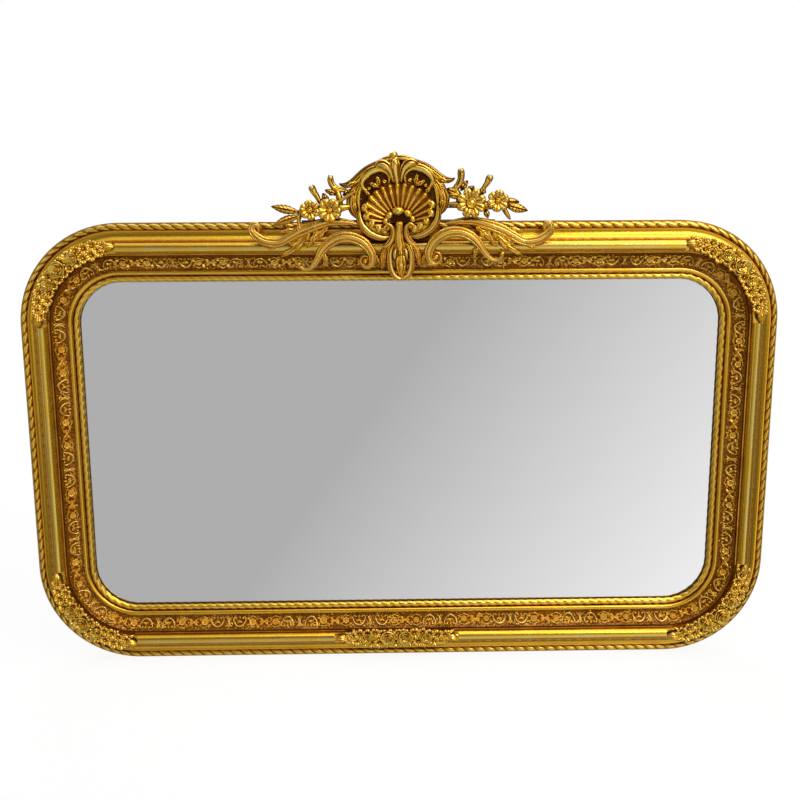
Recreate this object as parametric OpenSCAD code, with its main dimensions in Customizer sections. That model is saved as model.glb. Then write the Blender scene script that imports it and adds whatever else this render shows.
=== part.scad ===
// Overmantel mirror: a wide gilt frame with rounded corners, rope edges, a carved frieze
// and a shell cresting with scrolls and flower sprays.
// Millimetres. X runs to the right as seen from the front, Z up, and the front faces -Y.
// The origin is at mid-width on the plane of the frame's back, level with its underside.
// Sections of the moulding are drawn with u, the distance in from the outer edge, and
// h, the height in front of the back plane.

/* [Frame] */
// Width of the frame
frame_w = 1200; // [900:10:1600]
// Height of the frame without the cresting
frame_h = 720; // [620:10:1000]
// Outer radius of the rounded corners
corner_r = 160; // [145:5:200]

/* [Moulding] */
// Width of the moulding from the outer edge to the sight edge
mould_w = 92; // [90:1:100]
// Height of the outer wall, on which the outer rope is seated
wall_h = 22; // [20:1:26]
// Width of the outer rope's seat
rope_seat_w = 12.5; // [11.5:0.1:13]
// Radius of the outer rope
rope_r = 5.6; // [4.5:0.1:5.6]
// Radius of the big torus
torus_r = 9; // [8:0.1:9.5]
// Distance of the torus centre from the outer edge
torus_u = 38; // [36:0.5:39]
// Height of the torus centre above the back plane
torus_h = 39; // [37:0.5:41]
// Radius of the small bead between frieze and inner rope
bead_r = 4.2; // [3:0.1:4.2]
// Radius of the inner rope
sight_rope_r = 5; // [4:0.1:5.1]
// Hollow of the frieze's ground below its chord
frieze_hollow = 3; // [2:0.2:4]
// Thickness of the frieze's cast ornament strip
frieze_skin = 1.4; // [1:0.1:2]

/* [Rebate and glass] */
// Width of the ledge behind the sight edge
ledge_w = 8; // [7:0.5:10]
// Depth of the rebate from the back plane to the ledge
rebate_h = 14; // [12.5:0.5:15]
// Thickness of the silvered glass
glass_t = 4; // [3:0.5:5]
// Thickness of the backboard
board_t = 3; // [2:0.5:4]
// Gap left around the glass and the backboard in the rebate
glass_gap = 1.5; // [1:0.5:2]
// Thickness of a glazing point
point_t = 0.8; // [0.5:0.1:1.2]
// Width of a glazing point
point_w = 10; // [8:1:14]
// Length of a glazing point, half of it in the wood
point_len = 24; // [18:1:28]
// Points along the top and along the bottom
points_wide = 4; // [3:1:6]
// Points along each stile
points_high = 2; // [2:1:3]

/* [Corner joints] */
// Radius of a joint dowel
dowel_r = 4; // [3:0.5:5]
// Length of a joint dowel, half of it in each part
dowel_len = 40; // [30:2:50]
// Radial room for glue around a dowel
dowel_room = 0.1; // [0.05:0.05:0.2]

/* [Hangers] */
// How far the ring hinges lie below the top corner blocks
hanger_drop = 40; // [20:5:100]
// Distance of a hanger from the outer edge
hanger_u = 32; // [26:1:40]
// Width of a hanger strap
strap_w = 12; // [10:1:16]
// Length of a hanger strap below its knuckle
strap_len = 42; // [40:1:50]
// Thickness of the strap's sheet
strap_t = 1.2; // [1:0.1:1.6]
// Radius of the ring's wire
wire_r = 1.5; // [1.2:0.1:2]
// Radius of the ring's round end
ring_r = 10.5; // [9.5:0.5:14]
// Radial running clearance of the ring's bar in the knuckle
knuckle_room = 0.05; // [0.03:0.01:0.1]
// Radius of a hanger screw's shank
screw_r = 1.6; // [1.4:0.1:2]
// Length of a hanger screw in the wood
screw_len = 14; // [10:1:15]

/* [Cresting] */
// Sideways place of the cresting's axis, which is fixed by hand a little off centre
crest_x = -5; // [-6:0.5:6]
// Width of the batten behind the cresting
batten_w = 60; // [50:2:70]
// Thickness of the batten, let flush into the back
batten_t = 10; // [8:0.5:12]
// Length of the batten on the rail
batten_foot = 70; // [60:2:74]
// Height of the batten above the frame
batten_rise = 72; // [60:2:76]
// Lean of the cresting's middle to the left in degrees, as it was fixed by hand
crest_lean = 2.5; // [0:0.5:3]
// Half the width of the shell
shell_r = 54; // [48:1:55]
// Half the height of the shell's rim
shell_rise = 38; // [34:1:39]
// Ribs of the shell
shell_ribs = 17; // [13:2:19]
// Height above the frame of the point about which the cresting leans
shell_z = 15; // [14:1:16]
// Radius of the armature wires behind the flower sprays and the tail leaves
armature_r = 1.5; // [1:0.1:1.5]

/* [Sprays on the torus] */
// Sideways place of the bottom spray
bottom_spray_x = -11; // [-20:1:20]
// Length of the bottom spray's seat
bottom_spray_len = 206; // [180:2:240]
// Height of the sprays' flat seat above the torus centre
spray_seat_rise = 3; // [2:0.5:4]

/* [Hidden] */

$fn = 48;
GOLD = "goldenrod";
WOOD = "burlywood";
STEEL = "silver";
eps = 0.01;

// --- Sizes worked out from the driving dimensions ---
straight_w = frame_w - 2 * corner_r;        // length of a rail between corners
straight_h = frame_h - 2 * corner_r;        // length of a stile between corners
rebate_u = mould_w - ledge_w;               // rebate wall
fillet_u = rope_seat_w + 2;                 // inner edge of the fillet beside the rope
fillet_h = wall_h + 5;                      // top of that fillet
cove_end_u = torus_u - torus_r;             // the cove runs up to the torus's side
sight_seat_u = mould_w - 2 * sight_rope_r - 0.6;  // outer edge of the inner rope's seat
sight_seat_h = rebate_h + 2.5;              // inner rope's seat
bead_seat_h = sight_seat_h + 3;             // bead's seat
bead_u = sight_seat_u - bead_r - 0.1;       // bead's centre line
frieze_out_u = torus_u + torus_r + 3;       // frieze, outer edge
frieze_in_u = bead_u - bead_r;              // frieze, inner edge
frieze_out_h = torus_h - 6;                 // ground's height at its outer edge
front_h = torus_h + torus_r;                // highest line of the moulding
spray_h = torus_h + spray_seat_rise;        // sprays' flat seat on the torus
rope_u = rope_seat_w / 2 + 0.3;             // outer rope's centre line
rope_h = wall_h + 1.6;                      // outer rope's centre height
sight_rope_u = sight_seat_u + sight_rope_r + 0.3;
sight_rope_h = sight_seat_h + 1.7;
board_back_h = rebate_h - glass_t - board_t;

// --- Placing a piece drawn on the bottom rail (outer edge at z = 0, run along X) ---
module on_bottom() { children(); }
module on_top() { translate([0, 0, frame_h]) rotate([0, 180, 0]) children(); }
module on_left() { translate([-frame_w / 2, 0, frame_h / 2]) rotate([0, 90, 0]) children(); }
module on_right() { translate([frame_w / 2, 0, frame_h / 2]) rotate([0, -90, 0]) children(); }

// Stands a section drawn as (u, h) up on the bottom rail, run along X about its middle.
module run(length) {
    rotate([0, -90, 180]) translate([0, 0, -length / 2]) linear_extrude(length) children();
}

// Turns a section drawn as (u, h) through the corner that is 90 * quarter degrees
// anticlockwise from the top right one.
module turn_corner(quarter) {
    at_corner(quarter) rotate([90, 0, 0]) rotate_extrude(angle = 90, $fn = 96)
        translate([corner_r, 0]) mirror([1, 0]) children();
}

// Moves to a corner's centre, turned so that its arc runs from +X to +Z.
module at_corner(quarter) {
    sx = (quarter == 0 || quarter == 3) ? 1 : -1;
    sz = quarter < 2 ? 1 : -1;
    translate([sx * straight_w / 2, 0, frame_h / 2 + sz * straight_h / 2])
        rotate([0, -90 * quarter, 0]) children();
}

// --- Sections of the moulding, drawn as (u, h) ---
// The frieze's ground is an arc below the chord between its two edges.
frieze_chord = norm([frieze_in_u - frieze_out_u, frieze_out_h - bead_seat_h]);
frieze_arc_r = (pow(frieze_chord / 2, 2) + pow(frieze_hollow, 2)) / (2 * frieze_hollow);
frieze_normal = [frieze_out_h - bead_seat_h, frieze_in_u - frieze_out_u] / frieze_chord;
frieze_mid = [(frieze_out_u + frieze_in_u) / 2, (frieze_out_h + bead_seat_h) / 2];
frieze_centre = frieze_mid + frieze_normal * (frieze_arc_r - frieze_hollow);
frieze_tilt = atan2(frieze_normal[0], frieze_normal[1]);

module cove_section() {
    cove_r = cove_end_u - fillet_u;
    difference() {
        translate([fillet_u, wall_h]) square([cove_r + eps, fillet_h - wall_h + cove_r]);
        translate([fillet_u, fillet_h + cove_r]) circle(r = cove_r);
        translate([0, torus_h]) square([frame_w, frame_w]);
    }
}

module moulding_section(top_h = front_h) {
    difference() {
        polygon([[0, 0], [rebate_u, 0], [rebate_u, rebate_h], [mould_w, rebate_h],
            [mould_w, sight_seat_h], [sight_seat_u, sight_seat_h], [sight_seat_u, bead_seat_h],
            [frieze_in_u, bead_seat_h], [frieze_out_u, frieze_out_h],
            [frieze_out_u, torus_h - 1.5], [torus_u + torus_r - 1, torus_h - 1.5],
            [cove_end_u, torus_h - 1.5], [cove_end_u, wall_h], [fillet_u, wall_h],
            [fillet_u, fillet_h], [rope_seat_w, fillet_h], [rope_seat_w, wall_h], [0, wall_h]]);
        intersection() {
            translate(frieze_centre) circle(r = frieze_arc_r);
            translate([frieze_out_u, bead_seat_h - frieze_hollow])
                square([frieze_in_u - frieze_out_u, torus_h]);
        }
    }
    cove_section();
    intersection() {
        translate([torus_u, torus_h]) circle(r = torus_r);
        translate([0, torus_h - 2]) square([frame_w, top_h - torus_h + 2]);
    }
    intersection() {
        translate([bead_u, bead_seat_h + 1]) circle(r = bead_r);
        translate([0, bead_seat_h - eps]) square([frame_w, 3 * bead_r]);
    }
}

// A rope's own section: a round bead that is flat on its seat.
module outer_rope_section() {
    intersection() {
        translate([rope_u, rope_h]) circle(r = rope_r);
        translate([0, wall_h]) square([rope_seat_w, 3 * rope_r]);
    }
}

module sight_rope_section() {
    intersection() {
        translate([sight_rope_u, sight_rope_h]) circle(r = sight_rope_r);
        translate([sight_seat_u, sight_seat_h]) square([mould_w - sight_seat_u, 3 * sight_rope_r]);
    }
}

// The frieze's cast strip lies in the hollow ground, an even skin thick.
module frieze_section() {
    intersection() {
        difference() {
            translate(frieze_centre) circle(r = frieze_arc_r);
            translate(frieze_centre) circle(r = frieze_arc_r - frieze_skin);
        }
        translate([frieze_out_u, bead_seat_h - frieze_hollow])
            square([frieze_in_u - frieze_out_u, frieze_out_h - bead_seat_h + frieze_hollow]);
    }
}

// --- Frame ---
dowel_places = [[28, 16], [62, 11]];        // (u, h) of the dowels in each joint

module dowel_holes_in_rail(length) {
    for (end = [-1, 1], p = dowel_places)
        translate([end * length / 2, -p[1], p[0]]) rotate([0, 90, 0])
            cylinder(r = dowel_r + dowel_room, h = dowel_len + 1, center = true);
}

module dowel_holes_in_corner() {
    for (p = dowel_places) {
        translate([corner_r - p[0], -p[1], 0])
            cylinder(r = dowel_r + dowel_room, h = dowel_len + 1, center = true);
        translate([0, -p[1], corner_r - p[0]]) rotate([0, 90, 0])
            cylinder(r = dowel_r + dowel_room, h = dowel_len + 1, center = true);
    }
}

module rail(length, points) {
    difference() {
        run(length) moulding_section();
        dowel_holes_in_rail(length);
        rail_points(length, points, 0.1);
    }
}

module corner(quarter) {
    difference() {
        turn_corner(quarter) moulding_section(spray_h);
        at_corner(quarter) {
            dowel_holes_in_corner();
            corner_point(0.1);
        }
    }
}

module top_rail() {
    color(GOLD) difference() {
        on_top() rail(straight_w, points_wide);
        batten_seat();
        crest_screw_holes(0.1);
    }
}

module bottom_rail() {
    color(GOLD) difference() {
        on_bottom() rail(straight_w, points_wide);
        translate([bottom_spray_x - bottom_spray_len / 2, -front_h - 1, cove_end_u - 1])
            cube([bottom_spray_len, front_h + 1 - spray_h, 2 * torus_r + 2]);
    }
}

module stile(side) {
    color(GOLD) difference() {
        if (side < 0) on_left() rail(straight_h, points_high);
        else on_right() rail(straight_h, points_high);
        hanger_screw_shanks(side, 0.1);
    }
}

module joint_dowels() {
    color(WOOD) {
        for (end = [-1, 1], p = dowel_places) {
            for (top = [0, 1])
                translate([end * straight_w / 2, -p[1], top ? frame_h - p[0] : p[0]])
                    rotate([0, 90, 0]) cylinder(r = dowel_r, h = dowel_len, center = true);
            for (side = [-1, 1])
                translate([side * (frame_w / 2 - p[0]), -p[1], frame_h / 2 + end * straight_h / 2])
                    cylinder(r = dowel_r, h = dowel_len, center = true);
        }
    }
}

// Goes all round the frame with a section, in eight lengths.
module all_round() {
    on_bottom() run(straight_w) children();
    on_top() run(straight_w) children();
    on_left() run(straight_h) children();
    on_right() run(straight_h) children();
    for (quarter = [0:3]) turn_corner(quarter) children();
}

module outer_rope() { color(GOLD) all_round() outer_rope_section(); }
module sight_rope() { color(GOLD) all_round() sight_rope_section(); }
module frieze_ornament() { color("darkgoldenrod") all_round() frieze_section(); }

// --- Glass, backboard and glazing points ---
// A sheet with rounded corners that fills the rebate, from height low to low + thick.
module rebate_sheet(low, thick) {
    half_w = frame_w / 2 - rebate_u - glass_gap;
    half_h = frame_h / 2 - rebate_u - glass_gap;
    r = corner_r - rebate_u - glass_gap;
    translate([0, -low, frame_h / 2]) rotate([90, 0, 0]) linear_extrude(thick) union() {
        square([2 * (half_w - r), 2 * half_h], center = true);
        square([2 * half_w, 2 * (half_h - r)], center = true);
        for (x = [-1, 1], y = [-1, 1])
            translate([x * (half_w - r), y * (half_h - r)]) circle(r = r, $fn = 96);
    }
}

module glass() { color("lightgray") rebate_sheet(rebate_h - glass_t, glass_t); }
module backboard() { color("peru") rebate_sheet(board_back_h, board_t); }

// One point, half in the rebate's wall, pressed on the backboard. Room widens its slot.
module glazing_point(room) {
    translate([-point_w / 2 - room, -board_back_h, rebate_u - point_len / 2 - room])
        cube([point_w + 2 * room, point_t, point_len + 2 * room]);
}

module rail_points(length, count, room) {
    pitch = length / count;
    for (i = [0:count - 1]) translate([(i + 0.5) * pitch - length / 2, 0, 0]) glazing_point(room);
}

module corner_point(room) {
    rotate([0, -45, 0]) translate([corner_r, 0, 0]) rotate([0, -90, 0]) glazing_point(room);
}

module glazing_points() {
    color(STEEL) {
        on_bottom() rail_points(straight_w, points_wide, 0);
        on_top() rail_points(straight_w, points_wide, 0);
        on_left() rail_points(straight_h, points_high, 0);
        on_right() rail_points(straight_h, points_high, 0);
        for (quarter = [0:3]) at_corner(quarter) corner_point(0);
    }
}

// --- Ring hangers on the backs of the stiles ---
knuckle_r = wire_r + knuckle_room + strap_t;
hinge_y = wire_r + strap_t + 0.3;           // the ring folds down flat, clear of the strap
hanger_x = frame_w / 2 - hanger_u;
hanger_screw_drops = [25, strap_len - 7];   // screws below the hinge, clear of the folded ring
ring_corner_r = 3;
ring_leg = 5;

module at_hanger(side) { translate([side * hanger_x, 0, frame_h - corner_r - hanger_drop]) children(); }

module hanger_screw_shanks(side, room) {
    at_hanger(side) for (drop = hanger_screw_drops)
        translate([0, strap_t, -drop]) rotate([90, 0, 0])
            cylinder(r = screw_r + room, h = screw_len + strap_t + room);
}

module hanger_strap(side) {
    color(STEEL) at_hanger(side) difference() {
        union() {
            translate([-strap_w / 2, 0, -strap_len + strap_w / 2])
                cube([strap_w, strap_t, strap_len - strap_w / 2]);
            translate([0, 0, -strap_len + strap_w / 2]) rotate([-90, 0, 0])
                cylinder(r = strap_w / 2, h = strap_t);
            translate([0, hinge_y, 0]) rotate([0, 90, 0])
                cylinder(r = knuckle_r, h = strap_w, center = true);
        }
        translate([0, hinge_y, 0]) rotate([0, 90, 0])
            cylinder(r = wire_r + knuckle_room, h = strap_w + 2, center = true);
        for (drop = hanger_screw_drops)
            translate([0, -1, -drop]) rotate([-90, 0, 0]) cylinder(r = screw_r + 0.2, h = strap_t + 2);
    }
}

module quarter_bend() {
    rotate_extrude(angle = 90) translate([ring_corner_r, 0]) circle(r = wire_r);
}

// The ring hangs down from its bar, which lies in the knuckle along X.
module hanger_ring(side) {
    bar = 2 * (ring_r - ring_corner_r);
    color(STEEL) at_hanger(side) translate([0, hinge_y, 0]) {
        rotate([0, 90, 0]) cylinder(r = wire_r, h = bar, center = true);
        for (s = [-1, 1]) {
            translate([s * bar / 2, 0, -ring_corner_r]) mirror([s < 0 ? 1 : 0, 0, 0])
                rotate([90, 0, 0]) quarter_bend();
            translate([s * ring_r, 0, -ring_corner_r - ring_leg]) cylinder(r = wire_r, h = ring_leg);
        }
        translate([0, 0, -ring_corner_r - ring_leg]) rotate([90, 0, 0]) rotate([0, 0, 180])
            rotate_extrude(angle = 180) translate([ring_r, 0]) circle(r = wire_r);
    }
}

module hanger_screws() {
    color(STEEL) for (side = [-1, 1]) {
        hanger_screw_shanks(side, 0);
        at_hanger(side) for (drop = hanger_screw_drops)
            translate([0, strap_t, -drop]) rotate([-90, 0, 0]) cylinder(r1 = 3, r2 = 2.2, h = 1.6);
    }
}

// --- Cresting: what carries it ---
block_h = front_h;                          // the castings lie on the torus and on this block
crest_screw_len = 28;
crest_screw_places = [[-18, -45], [18, -45], [-18, 30], [18, 30]]; // from axis and frame top

module crest() { translate([crest_x, 0, frame_h]) children(); }

module batten_seat() {
    crest() translate([-batten_w / 2, -batten_t, -batten_foot])
        cube([batten_w, batten_t + 1, batten_foot + 1]);
}

module crest_screw_holes(room) {
    crest() for (p = crest_screw_places) translate([p[0], 0, p[1]]) rotate([90, 0, 0])
        cylinder(r = screw_r + room, h = screw_len_at(p) + room);
}
function screw_len_at(p) = p[1] < 0 ? batten_t + 8 : crest_screw_len;

module crest_batten() {
    top_r = 12;
    color(WOOD) difference() {
        crest() union() {
            translate([-batten_w / 2, -batten_t, -batten_foot])
                cube([batten_w, batten_t, batten_foot + batten_rise - top_r]);
            translate([-batten_w / 2 + top_r, -batten_t, 0])
                cube([batten_w - 2 * top_r, batten_t, batten_rise]);
            for (s = [-1, 1]) translate([s * (batten_w / 2 - top_r), 0, batten_rise - top_r])
                rotate([90, 0, 0]) cylinder(r = top_r, h = batten_t);
        }
        crest_screw_holes(0.2);
    }
}

module crest_screws() {
    color(STEEL) {
        crest_screw_holes(0);
        crest() for (p = crest_screw_places) translate([p[0], 0, p[1]]) rotate([-90, 0, 0])
            cylinder(r1 = 3.2, r2 = 2.4, h = 1.8);
    }
}

// The block behind the cartouche stands on the frame's top edge.
module crest_block() {
    color(WOOD) difference() {
        crest() translate([0, -batten_t, 0]) rotate([90, 0, 0]) linear_extrude(block_h - batten_t)
            intersection() {
                union() {
                    translate([0, 19]) circle(r = 59, $fn = 96);
                    translate([-1, 60]) circle(r = 24, $fn = 96);
                    for (s = [-1, 1]) translate([s * 30 - 1, 53]) circle(r = 23, $fn = 96);
                }
                translate([-90, 0]) square([180, 150]);
            }
        crest_screw_holes(0.1);
        armature(0.1);
    }
}

// Straight wires let into the block's sides: the castings beside it lie against them.
armature_h = block_h - armature_r;
armature_in = 18;                           // length of a wire inside the block

armature_wires = [[56, 2, 148], [55, 22, 146]]; // [x at the block's side, z, x of the end]

module armature(room) {
    crest() for (s = [-1, 1], w = armature_wires)
        translate([s * (w[0] - armature_in), -armature_h, w[1]]) rotate([0, s * 90, 0])
            cylinder(r = armature_r + room, h = w[2] - w[0] + armature_in);
}

// --- Cresting: curves ---
// A smooth curve through points [x, z, half width], as Catmull and Rom draw it.
function curve_point(a, b, c, d, t) = 0.5 * (2 * b + (c - a) * t
    + (2 * a - 5 * b + 4 * c - d) * t * t + (3 * b - a - 3 * c + d) * t * t * t);
function curve(p, steps) = let (last = len(p) - 1) [
    for (i = [0:last - 1], k = [0:steps - 1])
        curve_point(p[max(i - 1, 0)], p[i], p[i + 1], p[min(i + 2, last)], k / steps),
    p[last]];

rounded_face = [[-1, 0], [-0.72, 0.75], [0, 1], [0.72, 0.75], [1, 0]]; // [across, up], in half widths and heights
ridged_face = [[-1, 0], [0, 1], [1, 0]];

// A casting with a flat back, carried along such a curve with its face as its section.
// Base is the height of its back and rise how far its face stands up for its half width.
module band(p, base, rise, steps = 2, section = rounded_face) {
    c = curve(p, steps);
    n = len(c);
    m = len(section);
    function along(i) = let (d = c[min(i + 1, n - 1)] - c[max(i - 1, 0)])
        [d[0], d[1]] / norm([d[0], d[1]]);
    function ring(i) = let (t = along(i), w = max(c[i][2], 0.3)) [for (s = section)
        [c[i][0] - t[1] * w * s[0], -base - (1 + w * rise) * s[1], c[i][1] + t[0] * w * s[0]]];
    for (i = [0:n - 2]) hull()
        polyhedron(concat(ring(i), ring(i + 1)), [[for (k = [0:m - 1]) k], [for (k = [m - 1:-1:0]) m + k]]);
}

// Moves to the cresting's sides, which are fixed evenly about mid-width.
module sides() { translate([0, 0, frame_h]) children(); }

// Draws the right-hand piece, or its mirror image on the left.
module handed(side) { mirror([side < 0 ? 1 : 0, 0, 0]) children(); }

// Draws a piece of the cresting's middle, which leans a little to the left.
module leaning() {
    crest() translate([0, 0, shell_z]) rotate([0, -crest_lean, 0]) translate([0, 0, -shell_z])
        children();
}

// A leaf or petal from the point (x, z) outwards, with its back at height base.
module leaf(x, z, angle, length, width, base, rise = 0.5, blunt = 0.1) {
    translate([x, 0, z]) rotate([0, -angle, 0])
        band([[0, 0, 0.2 * width], [0.6 * length, 0, 0.5 * width], [length, 0, blunt * width]],
            base, rise, 1, ridged_face);
}

petal_lap = 0.15;                           // how much higher each petal lies than the one before it
blossom_root = 7;                           // how far a flower's heart goes back into the stem

// A flower of one ring of lapping petals round a turned heart.
module blossom(x, z, base, r, petals, heart) {
    for (k = [0:petals - 1])
        leaf(x, z, k * 360 / petals + 20, r, 1.8 * r * tan(180 / petals), base + k * petal_lap, 0.4, 0.3);
    translate([x, blossom_root - base, z]) rotate([90, 0, 0])
        cylinder(r1 = heart, r2 = heart * 0.6, h = blossom_root + 6, $fn = 12);
}

// A rose of two rings of petals round a heart.
module rose(x, z, base, r) {
    for (k = [0:4]) leaf(x, z, 72 * k + 18, r, 1.1 * r, base + k * petal_lap, 0.4, 0.3);
    for (k = [0:2]) leaf(x, z, 120 * k + 40, 0.55 * r, 0.7 * r, base + k * petal_lap, 1.3, 0.3);
    translate([x, -base, z]) rotate([90, 0, 0]) cylinder(r1 = 0.26 * r, r2 = 0.18 * r, h = 0.75 * r, $fn = 7);
}

// --- Cresting: the castings, each with its back on the torus or the block ---
shell_span = 210;                           // the ribs' spread in degrees
shell_in_r = 24.6;                          // where the ribs start, round the hood
shell_rows = [[0, 5.5, 0.8], [0.2, 6, 2], [0.45, 6.5, 3], [0.7, 7.5, 3.8], [0.93, 8, 3.6],
    [1, 3, 3]];                             // [place from hood to rim, height of grooves, of ribs on them]
shell_lobe = 1.5;                           // how far a rib's end stands out of the rim
rib_steps = 3;
fan_z = shell_z - 18;                       // where the ribs would meet, under the hood
rim_up = 24;                                // the rim's middle above that point

module shell() {
    columns = rib_steps * shell_ribs;
    rows = len(shell_rows);
    function ribbed(i) = abs(sin(180 * i / rib_steps));
    function turn(i) = (i / columns - 0.5) * shell_span;
    // The distance from the ribs' meeting point to the oval rim.
    function rim_r(i) = let (c = cos(turn(i)), q = c * c / pow(shell_rise, 2) + pow(sin(turn(i)) / shell_r, 2),
        b = rim_up * c / pow(shell_rise, 2)) (b + sqrt(b * b - q * (pow(rim_up / shell_rise, 2) - 1))) / q;
    function out(j, i) = shell_in_r + shell_rows[j][0] * (rim_r(i) - shell_in_r)
        + (j > rows - 3 ? shell_lobe * (ribbed(i) - 1) : 0);
    function at(r, i, h) = [r * cos(90 + turn(i)), -h, r * sin(90 + turn(i))];
    top = [for (j = [0:rows - 1], i = [0:columns]) at(out(j, i), i, shell_rows[j][1] + shell_rows[j][2] * ribbed(i))];
    inner = [for (i = [0:columns]) at(out(0, i), i, 0)];
    outer = [for (i = [0:columns]) at(out(rows - 1, i), i, 0)];
    n = columns + 1;
    low_in = rows * n;
    low_out = low_in + n;
    last = rows - 1;
    front = [for (j = [0:rows - 2], i = [0:columns - 1]) let (a = j * n + i, b = a + n)
        each [[a, a + 1, b + 1], [a, b + 1, b]]];
    back = [for (i = [0:columns - 1]) [low_in + i, low_out + i, low_out + i + 1, low_in + i + 1]];
    rim = [for (i = [0:columns - 1]) [last * n + i, last * n + i + 1, low_out + i + 1, low_out + i]];
    hole = [for (i = [0:columns - 1]) [i + 1, i, low_in + i, low_in + i + 1]];
    ends = [[for (j = [0:last]) j * n, low_out, low_in],
        [low_in + columns, low_out + columns, for (j = [last:-1:0]) j * n + columns]];
    color(GOLD) leaning() translate([0, -block_h, fan_z])
        polyhedron(concat(top, inner, outer), concat(front, back, rim, hole, ends));
}

crescent_curve = [[59.5, 24, 3], [60, 12, 4.4], [56.5, -0.5, 5], [48.5, -11, 5], [38, -18, 4.8],
    [28, -21.8, 4.4], [19, -22, 3.6], [13.2, -18, 2.8], [12.2, -12, 2.4], [16, -8, 2.2], [20, -10, 2.2]];
link_curve = [[53.5, 60, 3], [58, 50, 4], [60.5, 40, 4.4], [61, 31, 4.2], [59.5, 20, 3]];
side_leaf_curve = [[56, 64, 4.5], [64, 52, 6.5], [69, 40, 8], [71, 28, 7.2], [68, 17, 5], [63, 9, 2.6]];
upper_scroll_curve = [[18.5, 67, 3], [22, 64.5, 2.2], [19, 61.6, 2.2], [14.5, 62.4, 2.4], [11.4, 67, 2.8],
    [12.2, 74.5, 3.4], [18, 79.8, 3.9], [26, 81.7, 4.2], [35, 80.8, 4.8], [44, 76.3, 5.2], [51, 69, 5.2],
    [54.4, 60, 4.8], [52, 52.6, 3.8], [46.5, 49.6, 2.6], [42, 51.5, 2]];
upper_leaf_curve = [[31, 84.2, 1.2], [38, 81.8, 3.6], [50, 74.5, 5], [61, 66.5, 5.2], [72, 61, 4.4], [81, 59.8, 3],
    [88, 61.5, 1]];

module cartouche_scroll(side) {
    color(GOLD) leaning() handed(side) {
        band(crescent_curve, block_h, 1);
        band(link_curve, block_h, 1.2);
        band(upper_scroll_curve, block_h, 1);
        band(upper_leaf_curve, block_h, 0.8);
        band(side_leaf_curve, block_h, 0.8);
    }
}

module crown_leaf() {
    color(GOLD) leaning() {
        band([[-3, 105.6, 2], [-3.2, 101.5, 5], [-3, 96, 6], [-2.4, 89, 7.4], [-1.8, 82, 6.8], [-1.2, 73, 4.6],
            [-0.6, 65, 2.6], [0, 60.5, 1]], block_h, 1.4);
        for (s = [-1, 1]) handed(s)
            band([[2, 91, 4], [9, 92.4, 4.5], [17, 91.2, 3.9], [24, 89.6, 2.9], [31, 88, 1]], block_h, 1.4);
    }
}

// Out of the shell's hood, which it carries too, a stem drops into a palmette.
drop_curve = [[0, 12, 5], [0, 2, 5.6], [0, -8, 6.6], [0, -18, 7.6], [0, -28, 8.8], [0, -38, 10.4],
    [0, -48, 12], [0, -60, 12.5], [0, -72, 11], [0, -82, 7], [0, -91, 1.5]];

module drop_leaf() {
    color(GOLD) leaning() {
        band(drop_curve, block_h, 0.8);
        for (a = [28, 90, 152]) leaf(0, fan_z, a, 23.4, 16, block_h, 1.1, 0.3);
        for (s = [-1, 1]) handed(s) {
            band([[3, -31, 3], [10, -40, 4.4], [15, -52, 5], [15.5, -65, 5], [11, -78, 3.6], [5, -87, 1]], block_h, 1);
            band([[9, -33, 2.6], [19, -39, 4], [24, -50, 4.8], [24, -62, 4.2], [29, -74, 0.8]], block_h, 1);
        }
    }
}

rail_scroll_curve = [[56, -58.5, 3], [52.5, -55.5, 1.8], [55.5, -51, 1.8], [62, -52.5, 2], [65, -60, 2.3],
    [61, -67.5, 2.7], [52, -69, 3.4], [44.5, -61, 4.8], [44, -47, 6.6], [54, -30.5, 7.8], [72, -20.5, 8.2],
    [92, -19.5, 8.2], [109, -27, 7.6], [121, -39, 6.2], [129, -52, 4.4], [138, -62, 3.2], [147, -65.5, 2.4],
    [155, -61, 2.2], [157, -54, 2.6]];

module rail_scroll(side) { color(GOLD) leaning() handed(side) band(rail_scroll_curve, block_h, 1); }

tail_curve = [[67, -3, 2], [84, 0, 4.8], [108, 1, 6.6], [134, -5, 8.4], [155, -13, 8.6], [172, -22, 7.6],
    [188, -31, 6], [203, -35, 4.6], [217, -32, 3.8], [226, -24, 3.4], [230, -14, 3.6], [226, -6, 4.6]];

module tail_leaf(side) {
    color(GOLD) sides() handed(side) {
        band(tail_curve, block_h, 0.75);
        band([[139, -9, 4], [149, -25, 6], [161, -38, 6], [175, -48, 4], [187, -57, 0.8]], block_h, 0.8);
        band([[131, -9, 3], [136, -22, 4], [142, -33, 3], [147, -41, 0.8]], block_h, 0.8);
    }
}

// The flowers stand in front of the tail leaves, carried by a stem that lies on the armature.
flower_h = block_h + 8;

module knob(x, z, r) { translate([x, -block_h - r, z]) sphere(r = r, $fn = 8); }

module flower_spray_right() {
    color(GOLD) sides() {
        band([[84, 26, 3], [94, 25, 6], [108, 24, 7], [125, 24, 6.5], [145, 25, 6.5], [161, 22, 4]], block_h, 1.2, 1);
        band([[84, 28, 3], [86, 42, 5], [83, 56, 3.4], [88, 68, 3], [90, 75, 3]], block_h, 1.2, 1);
        band([[113, 30, 3], [119, 42, 3], [126, 52, 3], [133, 61, 3]], block_h, 1.2, 1);
        knob(90, 76, 4.6);
        knob(134, 61, 5);
        leaf(157, 24, -12, 38, 15, block_h, 1);
        leaf(155, 30, 14, 24, 12, block_h, 1);
        leaf(84, 42, 150, 12, 10, block_h, 1);
        blossom(106, 29, flower_h, 23, 8, 7);
        blossom(145, 31, flower_h, 16, 6, 4);
    }
}

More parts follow.
